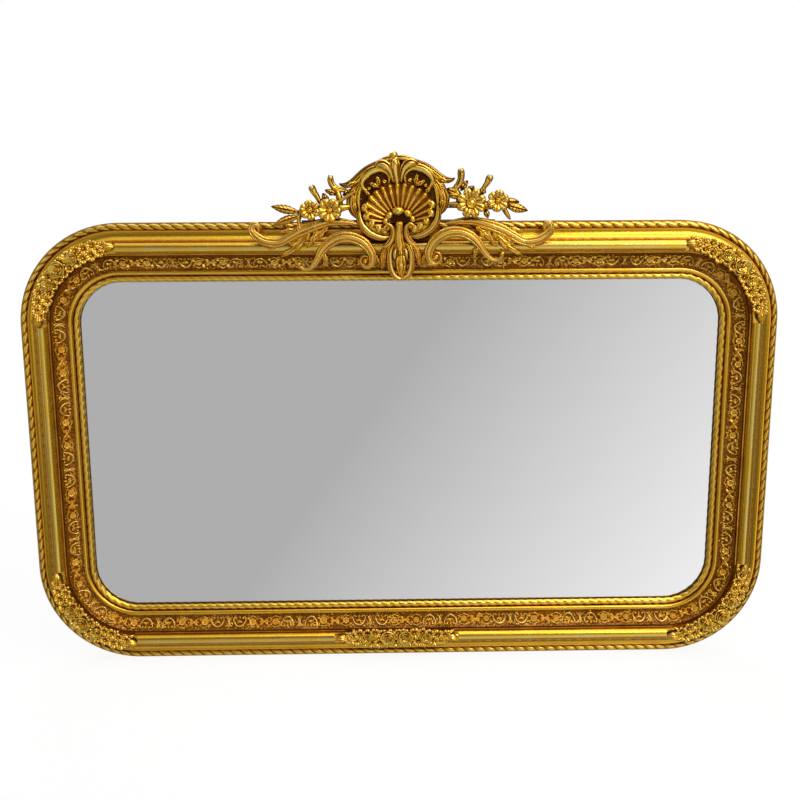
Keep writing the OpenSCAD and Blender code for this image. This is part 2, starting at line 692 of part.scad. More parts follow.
module flower_spray_left() {
    color(GOLD) sides() handed(-1) {
        band([[93, 22, 3], [101, 21, 6], [112, 20, 7], [124, 19, 6], [140, 18, 6.5], [156, 15, 5]], block_h, 1.2, 1);
        band([[98, 20, 3.5], [96, 30, 3.8], [96, 40, 5], [99, 51, 3.6], [107, 56, 3], [107, 64, 3]], block_h, 1.2, 1);
        band([[121, 24, 3], [127, 34, 3], [131, 43, 3], [136, 50, 3]], block_h, 1.2, 1);
        knob(106, 65, 4.4);
        knob(137, 49, 4.6);
        leaf(153, 17, 10, 46, 15, block_h, 1);
        leaf(153, 12, -20, 48, 14, block_h, 1);
        leaf(112, 23, 70, 22, 11, block_h, 1);
        blossom(109, 18, flower_h, 20, 5, 4);
        blossom(140, 18, flower_h, 15, 6, 4);
    }
}

// --- Sprays on the torus: corners and bottom centre ---
spray_rise = 0.6;
spray_leaf_rise = 0.9;
spray_bed_w = 6.5;                          // half width of the stem the flowers are bedded on
spray_end = 1.6;                            // clear of the torus's ends

module corner_spray(quarter) {
    arc_r = corner_r - torus_u;
    margin = 90 * spray_end / (PI * arc_r / 2);
    color(GOLD) at_corner(quarter) {
        band([for (k = [0:8]) let (a = margin + (90 - 2 * margin) * k / 8, end = min(k, 8 - k) / 2)
            [arc_r * cos(a), arc_r * sin(a), spray_bed_w * min(1, 0.15 + end)]], spray_h, spray_rise, 1);
        for (a = [38, 52]) rose((arc_r + 9) * cos(a), (arc_r + 9) * sin(a), spray_h + 3, 12);
        for (a = [21, 69]) rose((arc_r + 3) * cos(a), (arc_r + 3) * sin(a), spray_h + 3, 8);
        for (k = [-1, 1], side = [-1, 1]) {
            a = 45 + k * (side < 0 ? 31 : 34);
            leaf((arc_r + 3 * side) * cos(a), (arc_r + 3 * side) * sin(a), a + k * (90 - side * 18), 22, 11,
                spray_h, spray_leaf_rise);
            b = 45 + k * 15;
            leaf((arc_r + 4 * side) * cos(b), (arc_r + 4 * side) * sin(b), b + k * (90 - side * 48), 24, 12,
                spray_h, spray_leaf_rise);
        }
        for (side = [-1, 1]) leaf((arc_r + 3 * side) * cos(45), (arc_r + 3 * side) * sin(45),
            side > 0 ? 45 : 225, 20 + 4 * side, 11, spray_h, spray_leaf_rise);
    }
}

module bottom_spray() {
    half = bottom_spray_len / 2 - spray_end;
    color(GOLD) translate([bottom_spray_x, 0, torus_u]) {
        band([for (x = [-1, -0.85, 0.85, 1]) [half * x, 0, abs(x) == 1 ? 1 : spray_bed_w]], spray_h, spray_rise, 1);
        for (x = [-15, 15]) rose(x, 2, spray_h + 3, 12);
        for (x = [-47, 47]) rose(x, 0, spray_h + 3, 9);
        for (s = [-1, 1]) handed(s) {
            leaf(78, 2, 22, 22, 10, spray_h, spray_leaf_rise);
            leaf(78, -2, -22, 22, 10, spray_h, spray_leaf_rise);
            leaf(58, 3, 34, 22, 10, spray_h, spray_leaf_rise);
            leaf(58, -3, -34, 22, 10, spray_h, spray_leaf_rise);
            leaf(24, 5, 40, 20, 10, spray_h, spray_leaf_rise);
            leaf(24, -5, -40, 20, 10, spray_h, spray_leaf_rise);
        }
    }
}

top_rail();
bottom_rail();
stile(-1);  // left_stile
stile(1);  // right_stile
color(GOLD) corner(0);  // corner_top_right
color(GOLD) corner(1);  // corner_top_left
color(GOLD) corner(2);  // corner_bottom_left
color(GOLD) corner(3);  // corner_bottom_right
joint_dowels();
outer_rope();
sight_rope();
frieze_ornament();
corner_spray(0);  // corner_spray_top_right
corner_spray(1);  // corner_spray_top_left
corner_spray(2);  // corner_spray_bottom_left
corner_spray(3);  // corner_spray_bottom_right
bottom_spray();
glass();
backboard();
glazing_points();
hanger_strap(-1);  // hanger_strap_left
hanger_strap(1);  // hanger_strap_right
hanger_ring(-1);  // hanger_ring_left
hanger_ring(1);  // hanger_ring_right
hanger_screws();
crest_batten();
crest_block();
crest_screws();
color(STEEL) armature(0);  // armature_wires
shell();
crown_leaf();
drop_leaf();
cartouche_scroll(-1);  // cartouche_scroll_left
cartouche_scroll(1);  // cartouche_scroll_right
rail_scroll(-1);  // rail_scroll_left
rail_scroll(1);  // rail_scroll_right
tail_leaf(-1);  // tail_leaf_left
tail_leaf(1);  // tail_leaf_right
flower_spray_left();
flower_spray_right();
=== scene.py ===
"""Dresses the gilt overmantel mirror: carved ropes, cast frieze and ornaments, mirror glass, wood and hardware.

Lengths are written in millimetres, as on a drawing, and turn into metres where a mesh or a node is made. A height is
measured forwards from the plane of the frame's back, an inset inwards from its outer edge.
"""
import logging
import math
from collections.abc import Callable, Mapping, Sequence
from dataclasses import dataclass, field
from enum import Enum
from typing import Any

import bpy
import numpy as np
from mathutils import Matrix, Vector


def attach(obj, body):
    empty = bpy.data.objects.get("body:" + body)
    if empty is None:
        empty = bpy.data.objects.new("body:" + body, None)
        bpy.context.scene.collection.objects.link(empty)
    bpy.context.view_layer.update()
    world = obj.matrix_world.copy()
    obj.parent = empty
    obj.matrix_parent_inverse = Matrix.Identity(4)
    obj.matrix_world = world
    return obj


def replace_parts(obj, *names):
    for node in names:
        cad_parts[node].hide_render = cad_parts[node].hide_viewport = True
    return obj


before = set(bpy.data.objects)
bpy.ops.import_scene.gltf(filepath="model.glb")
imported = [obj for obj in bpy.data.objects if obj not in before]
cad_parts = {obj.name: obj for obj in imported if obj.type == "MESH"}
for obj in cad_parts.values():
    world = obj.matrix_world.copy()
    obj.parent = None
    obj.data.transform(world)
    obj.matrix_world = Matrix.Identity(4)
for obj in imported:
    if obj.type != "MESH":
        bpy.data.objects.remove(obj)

LOG = logging.getLogger("overmantel_mirror")
MM = 0.001
SHARP_EDGE = math.radians(62)
Array = np.ndarray
Colour = tuple[float, float, float]
Point = tuple[float, ...]
Curve = tuple[Point, ...]
Place = Callable[[Array, Array, Array], Array]


def heading(degrees: float) -> tuple[float, float]:
    """Gives the cosine and sine of a direction."""
    return math.cos(math.radians(degrees)), math.sin(math.radians(degrees))


def add_object(name: str, data: bpy.types.ID) -> bpy.types.Object:
    """Links a new object to the scene.

    Args:
        name: Its name.
        data: Its mesh, lamp or camera.

    Returns:
        The new object.
    """
    made = bpy.data.objects.new(name, data)
    bpy.context.scene.collection.objects.link(made)
    return made


# --- Shader trees -------------------------------------------------------------------------------------------------
class Wire:
    """A socket of a shader tree, on which arithmetic adds Math nodes."""

    def __init__(self, tree: "Tree", socket: bpy.types.NodeSocket) -> None:
        """Wraps a socket."""
        self.tree = tree
        self.socket = socket

    def math(self, operation: str, *others: "Wire | float", swapped: bool = False) -> "Wire":
        """Adds one Math node.

        Args:
            operation: Its operation.
            others: Its other values.
            swapped: Whether this socket is the second value and not the first.

        Returns:
            The node's result.
        """
        values: list[Wire | float] = [self, *others]
        if swapped:
            values.reverse()
        return self.tree.make("ShaderNodeMath", {"operation": operation}, dict(enumerate(values)))

    def __add__(self, other: "Wire | float") -> "Wire":
        """Adds."""
        return self.math("ADD", other)

    __radd__ = __add__

    def __sub__(self, other: "Wire | float") -> "Wire":
        """Subtracts."""
        return self.math("SUBTRACT", other)

    def __rsub__(self, other: "Wire | float") -> "Wire":
        """Subtracts from a number."""
        return self.math("SUBTRACT", other, swapped=True)

    def __mul__(self, other: "Wire | float") -> "Wire":
        """Multiplies."""
        return self.math("MULTIPLY", other)

    __rmul__ = __mul__

    def __truediv__(self, other: "Wire | float") -> "Wire":
        """Divides."""
        return self.math("DIVIDE", other)

    def __pow__(self, other: "Wire | float") -> "Wire":
        """Raises to a power."""
        return self.math("POWER", other)

    def __abs__(self) -> "Wire":
        """Takes the size without its sign."""
        return self.math("ABSOLUTE")

    def at_least(self, other: "Wire | float") -> "Wire":
        """Takes the larger of two values."""
        return self.math("MAXIMUM", other)

    def at_most(self, other: "Wire | float") -> "Wire":
        """Takes the smaller of two values."""
        return self.math("MINIMUM", other)

    def step(self, low: float, high: float) -> "Wire":
        """Rises smoothly from 0 at low to 1 at high, which may be the lower of the two."""
        return self.tree.make("ShaderNodeMapRange", {"interpolation_type": "SMOOTHSTEP"},
                              {"Value": self, "From Min": low, "From Max": high})


class Tree:
    """The node tree of one material or of the world."""

    def __init__(self, owner: bpy.types.Material | bpy.types.World) -> None:
        """Empties the owner's tree and keeps it.

        Args:
            owner: A material or a world.
        """
        owner.use_nodes = True
        self.tree = owner.node_tree
        self.tree.nodes.clear()

    def make(self, kind: str, settings: Mapping[str, Any] | None = None,
             inputs: Mapping[int | str, Any] | None = None, output: int | str = 0) -> Wire:
        """Makes one node.

        Args:
            kind: Its type.
            settings: Its settings, set first. A ramp's stops are given as "stops".
            inputs: Values or wires for its sockets.
            output: The socket that is wanted.

        Returns:
            That socket.
        """
        node = self.tree.nodes.new(kind)
        for name, value in (settings or {}).items():
            if name == "stops":
                self._set_stops(node.color_ramp, value)
            else:
                setattr(node, name, value)
        for name, value in (inputs or {}).items():
            if isinstance(value, Wire):
                self.tree.links.new(value.socket, node.inputs[name])
            else:
                node.inputs[name].default_value = value
        return Wire(self, node.outputs[output]) if node.outputs else Wire(self, None)

    @staticmethod
    def _set_stops(ramp: bpy.types.ColorRamp, stops: Sequence[tuple[float, Sequence[float] | float]]) -> None:
        """Gives a ramp its stops.

        Args:
            ramp: The ramp.
            stops: Places from 0 to 1, each with a colour or a grey.
        """
        while len(ramp.elements) < len(stops):
            ramp.elements.new(0.5)
        for element, (place, value) in zip(ramp.elements, stops):
            element.position = place
            shade = (value,) * 3 if isinstance(value, (int, float)) else tuple(value)
            element.color = (*shade, 1.0)

    def ramp(self, value: Wire, stops: Sequence[tuple[float, Sequence[float] | float]]) -> Wire:
        """Turns a value from 0 to 1 into the colours or greys of its stops."""
        return self.make("ShaderNodeValToRGB", {"stops": stops}, {"Fac": value})

    def mix(self, factor: Wire | float, first: Wire | Colour, second: Wire | Colour) -> Wire:
        """Mixes two colours, by how much there is of the second."""
        ends = [value if isinstance(value, Wire) else (*value, 1.0) for value in (first, second)]
        return self.make("ShaderNodeMix", {"data_type": "RGBA"}, {0: factor, 6: ends[0], 7: ends[1]}, 2)

    def place(self) -> Wire:
        """Gives the object's own coordinates."""
        return self.make("ShaderNodeTexCoord", output="Object")

    def split(self, vector: Wire) -> tuple[Wire, Wire, Wire]:
        """Gives a vector's three parts.

        Args:
            vector: The vector.

        Returns:
            Its X, Y and Z.
        """
        first = self.make("ShaderNodeSeparateXYZ", None, {0: vector})
        node = first.socket.node
        return first, Wire(self, node.outputs[1]), Wire(self, node.outputs[2])

    def stretch(self, vector: Wire, scale: Colour) -> Wire:
        """Scales a vector by a different number along each axis."""
        return self.make("ShaderNodeVectorMath", {"operation": "MULTIPLY"}, {0: vector, 1: scale})

    def noise(self, vector: Wire, scale: float, detail: float = 2.0, rough: float = 0.5) -> Wire:
        """Makes soft noise between 0 and 1, with so many spots in each metre."""
        return self.make("ShaderNodeTexNoise", None,
                         {"Vector": vector, "Scale": scale, "Detail": detail, "Roughness": rough})

    def bump(self, height: Wire, depth: float, strength: float = 1.0) -> Wire:
        """Turns a height from 0 to 1 into a normal, where 1 stands for a depth in millimetres."""
        return self.make("ShaderNodeBump", None, {"Height": height, "Distance": depth * MM, "Strength": strength})

    def surface(self, **inputs: Any) -> None:
        """Ends the tree with a Principled surface, whose sockets are given with _ for a space."""
        body = self.make("ShaderNodeBsdfPrincipled", None,
                         {name.replace("_", " "): value for name, value in inputs.items()})
        self.end(body)

    def end(self, shader: Wire, kind: str = "ShaderNodeOutputMaterial") -> None:
        """Links a shader to the tree's output."""
        self.make(kind, None, {"Surface": shader})


# --- Finishes -----------------------------------------------------------------------------------------------------
class Hollows(Enum):
    """Where a gilded surface gets the darkness of its hollows from."""

    CARVING = "carving"
    MOULDING = "moulding"


@dataclass(frozen=True)
class Finish:
    """A procedural finish, from which one material is made."""

    name: str

    def material(self) -> bpy.types.Material:
        """Makes the material.

        Returns:
            The new material.
        """
        made = bpy.data.materials.new(self.name)
        tree = Tree(made)
        self.paint(tree, tree.place())
        return made

    def paint(self, tree: Tree, place: Wire) -> None:
        """Builds the nodes, which each kind of finish does in its own way."""
        raise NotImplementedError


@dataclass(frozen=True)
class Gilding(Finish):
    """Gold leaf over red clay: toning and painted shade in the hollows, wear and painted highlight on high places."""

    hollows: Hollows = Hollows.CARVING
    # Palest tone, on the high places: wear and painted highlight.
    rubbed: Colour = (0.96, 0.66, 0.14)
    bright: Colour = (0.97, 0.58, 0.03)
    warm: Colour = (0.66, 0.30, 0.008)
    clay: Colour = (0.27, 0.088, 0.002)
    # Darkest tone, in the deep hollows: grime and painted shade.
    dirt_and_shade: Colour = (0.105, 0.03, 0.001)
    # How hollow the places are that have those tones, bright twice.
    tone_places: tuple[float, ...] = (0.0, 0.14, 0.3, 0.5, 0.72, 0.95)
    rough: float = 0.19
    darker: float = 0.0
    lacquer: float = 0.6
    lacquer_rough: float = 0.16
    specular: float = 0.12
    wood_dark: Colour = (0.34, 0.20, 0.09)
    wood_light: Colour = (0.55, 0.37, 0.20)
    seam: Colour = (0.06, 0.03, 0.015)
    # Spots in each metre along the grain and across it.
    lying_grain: Colour = (14.0, 200.0, 200.0)
    standing_grain: Colour = (200.0, 200.0, 14.0)
    # Inset in mm and darkness there: toning and painted shade in quirks, wear and painted highlight on the torus crest.
    moulding_tones: tuple[tuple[float, float], ...] = (
        (0.0, 0.55), (10.5, 0.75), (12.3, 0.45), (13.5, 0.2), (14.6, 0.62), (17.0, 0.32), (23.0, 0.3), (26.5, 0.42),
        (29.2, 0.78), (31.0, 0.34), (34.5, 0.05), (41.0, 0.05), (45.5, 0.3), (47.2, 0.75), (48.5, 0.4), (50.0, 0.9),
        (72.4, 0.9), (73.6, 0.45), (75.5, 0.1), (79.0, 0.1), (80.8, 0.5), (81.8, 0.9), (92.0, 0.9))

    def paint(self, tree: Tree, place: Wire) -> None:
        """Builds the gold with toning, painted shade and painted highlight, and the bare wood behind it on a moulding.

        Args:
            tree: The material's tree.
            place: Where a point lies on its object.
        """
        cloud = tree.noise(place, 26.0, 4.0, 0.6)
        grain = tree.noise(place, 420.0, 3.0, 0.6)
        streak = tree.noise(tree.stretch(place, (60.0, 300.0, 300.0)), 1.0, 3.0, 0.55)
        moulding = self.hollows is Hollows.MOULDING
        if moulding:
            past = self._past_sides(tree, place)
            depth = self._inset_tone(tree, place, *past)
        else:
            depth = tree.make("ShaderNodeAttribute", {"attribute_name": "hollow"}, output="Fac")
        depth = depth + (cloud - 0.5) * 0.34 + (grain - 0.5) * 0.22 + self.darker
        # Pale high places are wear and painted highlight, dark hollows toning and painted shade.
        tones = (self.rubbed, self.bright, self.bright, self.warm, self.clay, self.dirt_and_shade)
        colour = tree.ramp(depth, tuple(zip(self.tone_places, tones)))
        # Deep hollows also lose metal and lacquer, with their grime and painted shade.
        dirt_and_shade_mask = depth.step(0.5, 0.95)
        metal = 1.0 - dirt_and_shade_mask * 0.6
        rough = self.rough + streak * 0.1 + cloud * 0.08 + dirt_and_shade_mask * 0.3
        coat = (1.0 - dirt_and_shade_mask) * self.lacquer
        if moulding:
            bare, wood = self._back(tree, place, *past)
            gilt = 1.0 - bare
            colour, metal, coat = tree.mix(bare, colour, wood), metal * gilt, coat * gilt
            rough = rough * gilt + bare * 0.75
        tree.surface(Base_Color=colour, Metallic=metal, Roughness=rough, Coat_Weight=coat,
                     Coat_Roughness=self.lacquer_rough, Specular_IOR_Level=self.specular,
                     Normal=tree.bump(streak * 0.5 + grain * 0.5, 0.25, 0.5))

    @staticmethod
    def _past_sides(tree: Tree, place: Wire) -> tuple[Wire, Wire]:
        """Works out how far each point lies past the ends of the straight sides.

        Args:
            tree: The material's tree.
            place: The point.

        Returns:
            Its distances along x and z, in metres.
        """
        course = Course()
        x, _, z = tree.split(place)
        return (abs(x) - (course.half_width - course.corner_radius) * MM,
                abs(z - course.height / 2 * MM) - (course.height / 2 - course.corner_radius) * MM)

    def _inset_tone(self, tree: Tree, place: Wire, past_x: Wire, past_z: Wire) -> Wire:
        """Works out the moulding's toning, painted shade and painted highlight from the inset of each point.

        Args:
            tree: The material's tree.
            place: The point.
            past_x: How far it lies past the straight sides along x.
            past_z: How far it lies past them along z.

        Returns:
            How hollow the point is.
        """
        beyond = (past_x.at_least(0.0) ** 2.0 + past_z.at_least(0.0) ** 2.0) ** 0.5
        outside = beyond + past_x.at_least(past_z).at_most(0.0)
        inset = (Course().corner_radius * MM - outside) / MM + (tree.noise(place, 90.0) - 0.5) * 0.9
        wide = self.moulding_tones[-1][0]
        return tree.ramp(inset / wide, tuple((u / wide, tone) for u, tone in self.moulding_tones))

    def _back(self, tree: Tree, place: Wire, past_x: Wire, past_z: Wire) -> tuple[Wire, Wire]:
        """Works out the bare back, whose grain runs along each rail and stile up to a seam at the corner blocks.

        Args:
            tree: The material's tree.
            place: The point.
            past_x: How far it lies past the straight sides along x.
            past_z: How far it lies past them along z.

        Returns:
            Whether the point faces backwards, and its wood's colour.
        """
        _, backwards, _ = tree.split(tree.make("ShaderNodeNewGeometry", output="Normal"))
        seam = 1.0 - abs(past_x).at_most(abs(past_z)).step(0.15 * MM, 0.7 * MM)
        upright = past_x.step(0.0, 0.1 * MM)
        lying, standing = (tree.noise(tree.stretch(place, grain), 1.0, 5.0, 0.6)
                           for grain in (self.lying_grain, self.standing_grain))
        fibre = (lying * (1.0 - upright) + standing * upright).step(0.3, 0.75) * (1.0 - seam * 0.9) - seam * 0.5
        wood = tree.mix(fibre.at_least(0.0), self.wood_dark, self.wood_light)
        return backwards.step(0.6, 0.8), tree.mix(seam * 0.8, wood, self.seam)


@dataclass(frozen=True)
class Wood(Finish):
    """Bare softwood with its grain upright."""

    light: Colour = (0.60, 0.42, 0.24)
    dark: Colour = (0.36, 0.21, 0.10)
    grain: Colour = (60.0, 60.0, 6.0)

    def paint(self, tree: Tree, place: Wire) -> None:
        """Builds year rings and fibres.

        Args:
            tree: The material's tree.
            place: Where a point lies on its object.
        """
        rings = tree.make("ShaderNodeTexWave", {"bands_direction": "X"}, {
            "Vector": tree.stretch(place, self.grain), "Scale": 1.2, "Distortion": 5.0, "Detail": 3.0})
        fibre = tree.noise(tree.stretch(place, tuple(6.0 * k for k in self.grain)), 1.0, 4.0, 0.6)
        tree.surface(Base_Color=tree.mix((rings * 0.6 + fibre * 0.4).step(0.15, 0.85), self.light, self.dark),
                     Roughness=0.62 + fibre * 0.25, Normal=tree.bump(fibre, 0.3, 0.6))


@dataclass(frozen=True)
class Board(Finish):
    """Pressed hardboard: brown felted fibres, shiny where the press was smooth."""

    light: Colour = (0.40, 0.25, 0.13)
    dark: Colour = (0.22, 0.125, 0.06)

    def paint(self, tree: Tree, place: Wire) -> None:
        """Builds felt, clouds and flecks.

        Args:
            tree: The material's tree.
            place: Where a point lies on its object.
        """
        felt = tree.noise(place, 900.0, 4.0, 0.7)
        cloud = tree.noise(place, 7.0, 4.0, 0.6)
        flecks = tree.make("ShaderNodeTexVoronoi", None, {"Vector": tree.stretch(place, (500.0, 500.0, 140.0))})
        tone = felt * 0.45 + cloud * 0.4 + flecks * 0.15
        tree.surface(Base_Color=tree.mix(tone.step(0.3, 0.75), self.dark, self.light), Roughness=0.5 + felt * 0.35,
                     Normal=tree.bump(felt, 0.15, 0.7))


@dataclass(frozen=True)
class Metal(Finish):
    """Plain metal hardware, a little stained."""

    clean: Colour = (0.62, 0.61, 0.59)
    stained: Colour = (0.30, 0.25, 0.20)
    rough: float = 0.3
    stain: float = 0.35

    def paint(self, tree: Tree, place: Wire) -> None:
        """Builds spots and scratches.

        Args:
            tree: The material's tree.
            place: Where a point lies on its object.
        """
        spots = tree.noise(place, 240.0, 5.0, 0.65).step(0.5, 0.75) * self.stain
        scratch = tree.noise(tree.stretch(place, (3000.0, 400.0, 400.0)), 1.0, 2.0)
        tree.surface(Base_Color=tree.mix(spots, self.clean, self.stained), Metallic=1.0 - spots * 0.5,
                     Roughness=self.rough + scratch * 0.18 + spots * 0.3, Normal=tree.bump(scratch, 0.04, 0.4))


@dataclass(frozen=True)
class Silvering(Finish):
    """Silvered glass: a clean mirror with the faintest haze."""

    silver: Colour = (0.93, 0.935, 0.93)
    hazed: Colour = (0.916, 0.921, 0.916)
    haze: float = 0.012

    def paint(self, tree: Tree, place: Wire) -> None:
        """Builds the haze."""
        film = tree.noise(place, 9.0, 3.0, 0.6)
        tree.surface(Base_Color=tree.mix(film, self.silver, self.hazed), Metallic=1.0, Roughness=film * self.haze)


@dataclass
class Finishes:
    """Every material of the mirror, made once."""

    gilt_wood: bpy.types.Material = field(default_factory=Gilding(
        "gilded_moulding", Hollows.MOULDING, rubbed=(0.90, 0.60, 0.12), bright=(0.91, 0.52, 0.015),
        warm=(0.80, 0.35, 0.003), lacquer=0.7).material)
    gilt_casting: bpy.types.Material = field(default_factory=Gilding("gilded_casting").material)
    gilt_rope: bpy.types.Material = field(default_factory=Gilding("gilded_rope", rough=0.22).material)
    toned_frieze: bpy.types.Material = field(default_factory=Gilding(
        "toned_frieze", rough=0.24, clay=(0.36, 0.125, 0.003), dirt_and_shade=(0.15, 0.042, 0.001)).material)
    # The block behind the pierced cresting, darkened nearly to the darkest tone as painted shade.
    brown_block: bpy.types.Material = field(default_factory=Gilding(
        "shade_darkened_block", darker=0.86, rough=0.45).material)
    bare_wood: bpy.types.Material = field(default_factory=Wood("bare_softwood").material)
    hardboard: bpy.types.Material = field(default_factory=Board("hardboard").material)
    mirror: bpy.types.Material = field(default_factory=Silvering("silvered_glass").material)
    zinc: bpy.types.Material = field(default_factory=Metal("zinc_plate").material)
    nickel: bpy.types.Material = field(default_factory=Metal(
        "nickel_plate", clean=(0.66, 0.63, 0.58), rough=0.22, stain=0.2).material)
    iron: bpy.types.Material = field(default_factory=Metal(
        "dark_iron_wire", clean=(0.24, 0.20, 0.16), stained=(0.10, 0.06, 0.04), rough=0.5, stain=0.8).material)


# --- The frame's outline and section ------------------------------------------------------------------------------
@dataclass(frozen=True)
class Course:
    """The frame's outline with rounded corners, along which all its mouldings run."""

    half_width: float = 600.0
    height: float = 720.0
    corner_radius: float = 160.0

    def sides(self, inset: float) -> Array:
        """Gives the lengths of the four sides and corners at an inset, from the bottom side on.

        Args:
            inset: The inset.

        Returns:
            Eight lengths: bottom, corner, right, corner, top, corner, left, corner.
        """
        arc = math.pi / 2 * (self.corner_radius - inset)
        wide = 2 * (self.half_width - self.corner_radius)
        high = self.height - 2 * self.corner_radius
        return np.array([wide, arc, high, arc, wide, arc, high, arc])

    def length(self, inset: float) -> float:
        """Gives the way once round at an inset."""
        return float(self.sides(inset).sum())

    def follow(self, along: Array, measured_at: float, inset: Array) -> tuple[Array, Array]:
        """Finds points along the frame.

        Args:
            along: How far round they are, from the left end of the bottom side to the right.
            measured_at: The inset at which that way is measured.
            inset: How far in they lie.

        Returns:
            Their x and z.
        """
        sides = self.sides(measured_at)
        starts = np.concatenate([[0.0], np.cumsum(sides)])
        s = np.mod(along, starts[-1])
        k = np.clip(np.searchsorted(starts, s, side="right") - 1, 0, 7)
        local = s - starts[k]
        half_w, half_h = self.half_width - self.corner_radius, self.height / 2 - self.corner_radius
        centre_x = np.array([-1, 1, 1, 1, 1, -1, -1, -1])[k] * half_w
        centre_z = self.height / 2 + np.array([-1, -1, -1, 1, 1, 1, 1, -1])[k] * half_h
        corner = k % 2 == 1
        turn = np.deg2rad(np.array([-90, -90, 0, 0, 90, 90, 180, 180])[k]) + np.where(
            corner, local / (self.corner_radius - measured_at), 0.0)
        straight = np.where(corner, 0.0, local)
        radius = self.corner_radius - inset
        return (centre_x - np.sin(turn) * straight + np.cos(turn) * radius,
                centre_z + np.cos(turn) * straight + np.sin(turn) * radius)


@dataclass(frozen=True)
class Section:
    """Places on the moulding's section that the ornaments sit on."""

    torus_u: float = 38.0
    spray_h: float = 42.0
    frieze_out: Point = (50.0, 33.0)
    frieze_in: Point = (72.9, 19.5)
    frieze_hollow: float = 3.0
    frieze_skin: float = 1.4
    outline: Curve = (
        (0, 22), (12.5, 22), (12.6, 27), (14.5, 27), (19, 28), (24, 31), (28, 38), (29, 40), (33, 46.5), (38, 48),
        (43, 46.5), (47, 39), (47.1, 37.5), (50, 37.5), (50.1, 33), (56, 27), (66, 20.5), (72.9, 19.5), (74, 23),
        (77.1, 24.7), (80, 23), (81.3, 19.5), (81.5, 16.5), (92, 16.5), (92.1, 10), (500, 10))

    def top(self, inset: Array) -> Array:
        """Gives the moulding's height at an inset."""
        u, h = zip(*self.outline)
        return np.interp(inset, u, h)

    def on_frieze(self, across: Array, height: Array) -> tuple[Array, Array]:
        """Finds points over the frieze's hollow ground.

        Args:
            across: How far they lie from its middle, towards the glass.
            height: How far they stand out of the cast strip's face.

        Returns:
            Their insets and heights.
        """
        outer, inner = np.array(self.frieze_out), np.array(self.frieze_in)
        chord = inner - outer
        wide = float(np.linalg.norm(chord))
        normal = np.array([-chord[1], chord[0]]) / wide
        v = across / wide + 0.5
        out = height + self.frieze_skin - 4 * self.frieze_hollow * v * (1 - v)
        return outer[0] + chord[0] * v + normal[0] * out, outer[1] + chord[1] * v + normal[1] * out

    def frieze_width(self) -> float:
        """Gives the frieze's width across."""
        return math.dist(self.frieze_out, self.frieze_in)


# --- Carved relief ------------------------------------------------------------------------------------------------
@dataclass(frozen=True)
class Carving:
    """How the face of a casting is carved, across it and along it."""

    columns: int = 11
    edge: float = 0.35
    grooves: tuple[float, ...] = ()
    depth: float = 0.5
    groove_wide: float = 0.12
    lobes: float = 0.0
    cut: float = 0.0
    vein_depth: float = 0.0
    sweep: float = 0.6
    cup: float = 0.0
    # Darkness added over the whole face; the web's is painted shade.
    shade: float = 0.0

    def widths(self, s: Array) -> Array:
        """Gives the outline's factor along the length, with its cuts between lobes."""
        part = np.mod(self.lobes * s, 1.0)
        return 1 - self.cut * (1 - np.sin(np.pi * part ** 1.5) ** 0.6)

    def heights(self, s: Array, t: Array) -> Array:
        """Gives the face's height for a crown of 1."""
        a = np.abs(t)
        return (self.edge + (1 - self.edge) * (1 - a ** 2.8) + self.cup * (a ** 2 - 0.45)) * self.cuts(s, t)

    def cuts(self, s: Array, t: Array) -> Array:
        """Gives the part of the face's height that its grooves and veins leave standing.

        Args:
            s: Places along it from 0 to 1, as a column.
            t: Places across it from -1 to 1, as a row.

        Returns:
            The part left, from 0 to 1.
        """
        left = np.ones_like(t)
        for groove in self.grooves:
            left = left * (1 - self.depth * np.exp(-((t - groove) / self.groove_wide) ** 2))
        a = np.abs(t)
        lobe = np.abs(np.sin(np.pi * (self.lobes * s + self.sweep * (1 - a)))) ** 0.55
        return left * (1 - self.vein_depth * (1 - lobe) * np.minimum(1.0, 2.6 * a))

    def tones(self, s: Array, t: Array) -> Array:
        """Gives how dark the face is, most of all in its grooves and at its very edges, as toning and painted shade."""
        return 1.1 * (1 - self.cuts(s, t)) + 1.3 * np.clip((np.abs(t) - 0.7) / 0.3, 0, 1) ** 1.5 + self.shade


# How far out the rings of a plate, and of a domed or turned form lie, and how high.
PLATE = ((1.0, 0.0), (1.0, 0.8), (0.9, 1.0), (0.02, 1.0))
DOME = ((1.0, 0.0), (1.0, 0.25), (0.96, 0.5), (0.88, 0.68), (0.74, 0.83), (0.56, 0.93), (0.36, 0.98), (0.16, 1.0),
        (0.02, 1.0))
BUTTON = ((1.0, 0.0), (1.0, 0.7), (0.93, 0.96), (0.8, 1.0), (0.7, 0.9), (0.62, 0.7), (0.5, 0.7), (0.36, 0.84),
          (0.18, 0.92), (0.02, 0.94))
# How far along a leaf, a petal or a rose's petal each point lies and its width there, and how high a petal's lies.
LEAF_WIDTHS = ((0.0, 0.22), (0.2, 0.62), (0.45, 0.98), (0.7, 0.82), (0.88, 0.45), (1.0, 0.08))
PETAL_SHAPE = ((0.2, 0.4, 0.0), (0.4, 0.7, 0.6), (0.62, 0.96, 1.6), (0.8, 0.94, 2.0), (0.93, 0.66, 1.6),
               (1.0, 0.3, 0.6))
ROSE_SHAPE = ((0.2, 0.35, 0.02), (0.5, 0.66, 0.06), (0.78, 0.72, 0.14), (0.94, 0.5, 0.17), (1.0, 0.22, 0.08))
# How many petals each ring of a rose has, how far out it reaches and how high it starts.
ROSE_RINGS = ((5, 1.0, 0.0), (4, 0.72, 0.2), (3, 0.48, 0.36))

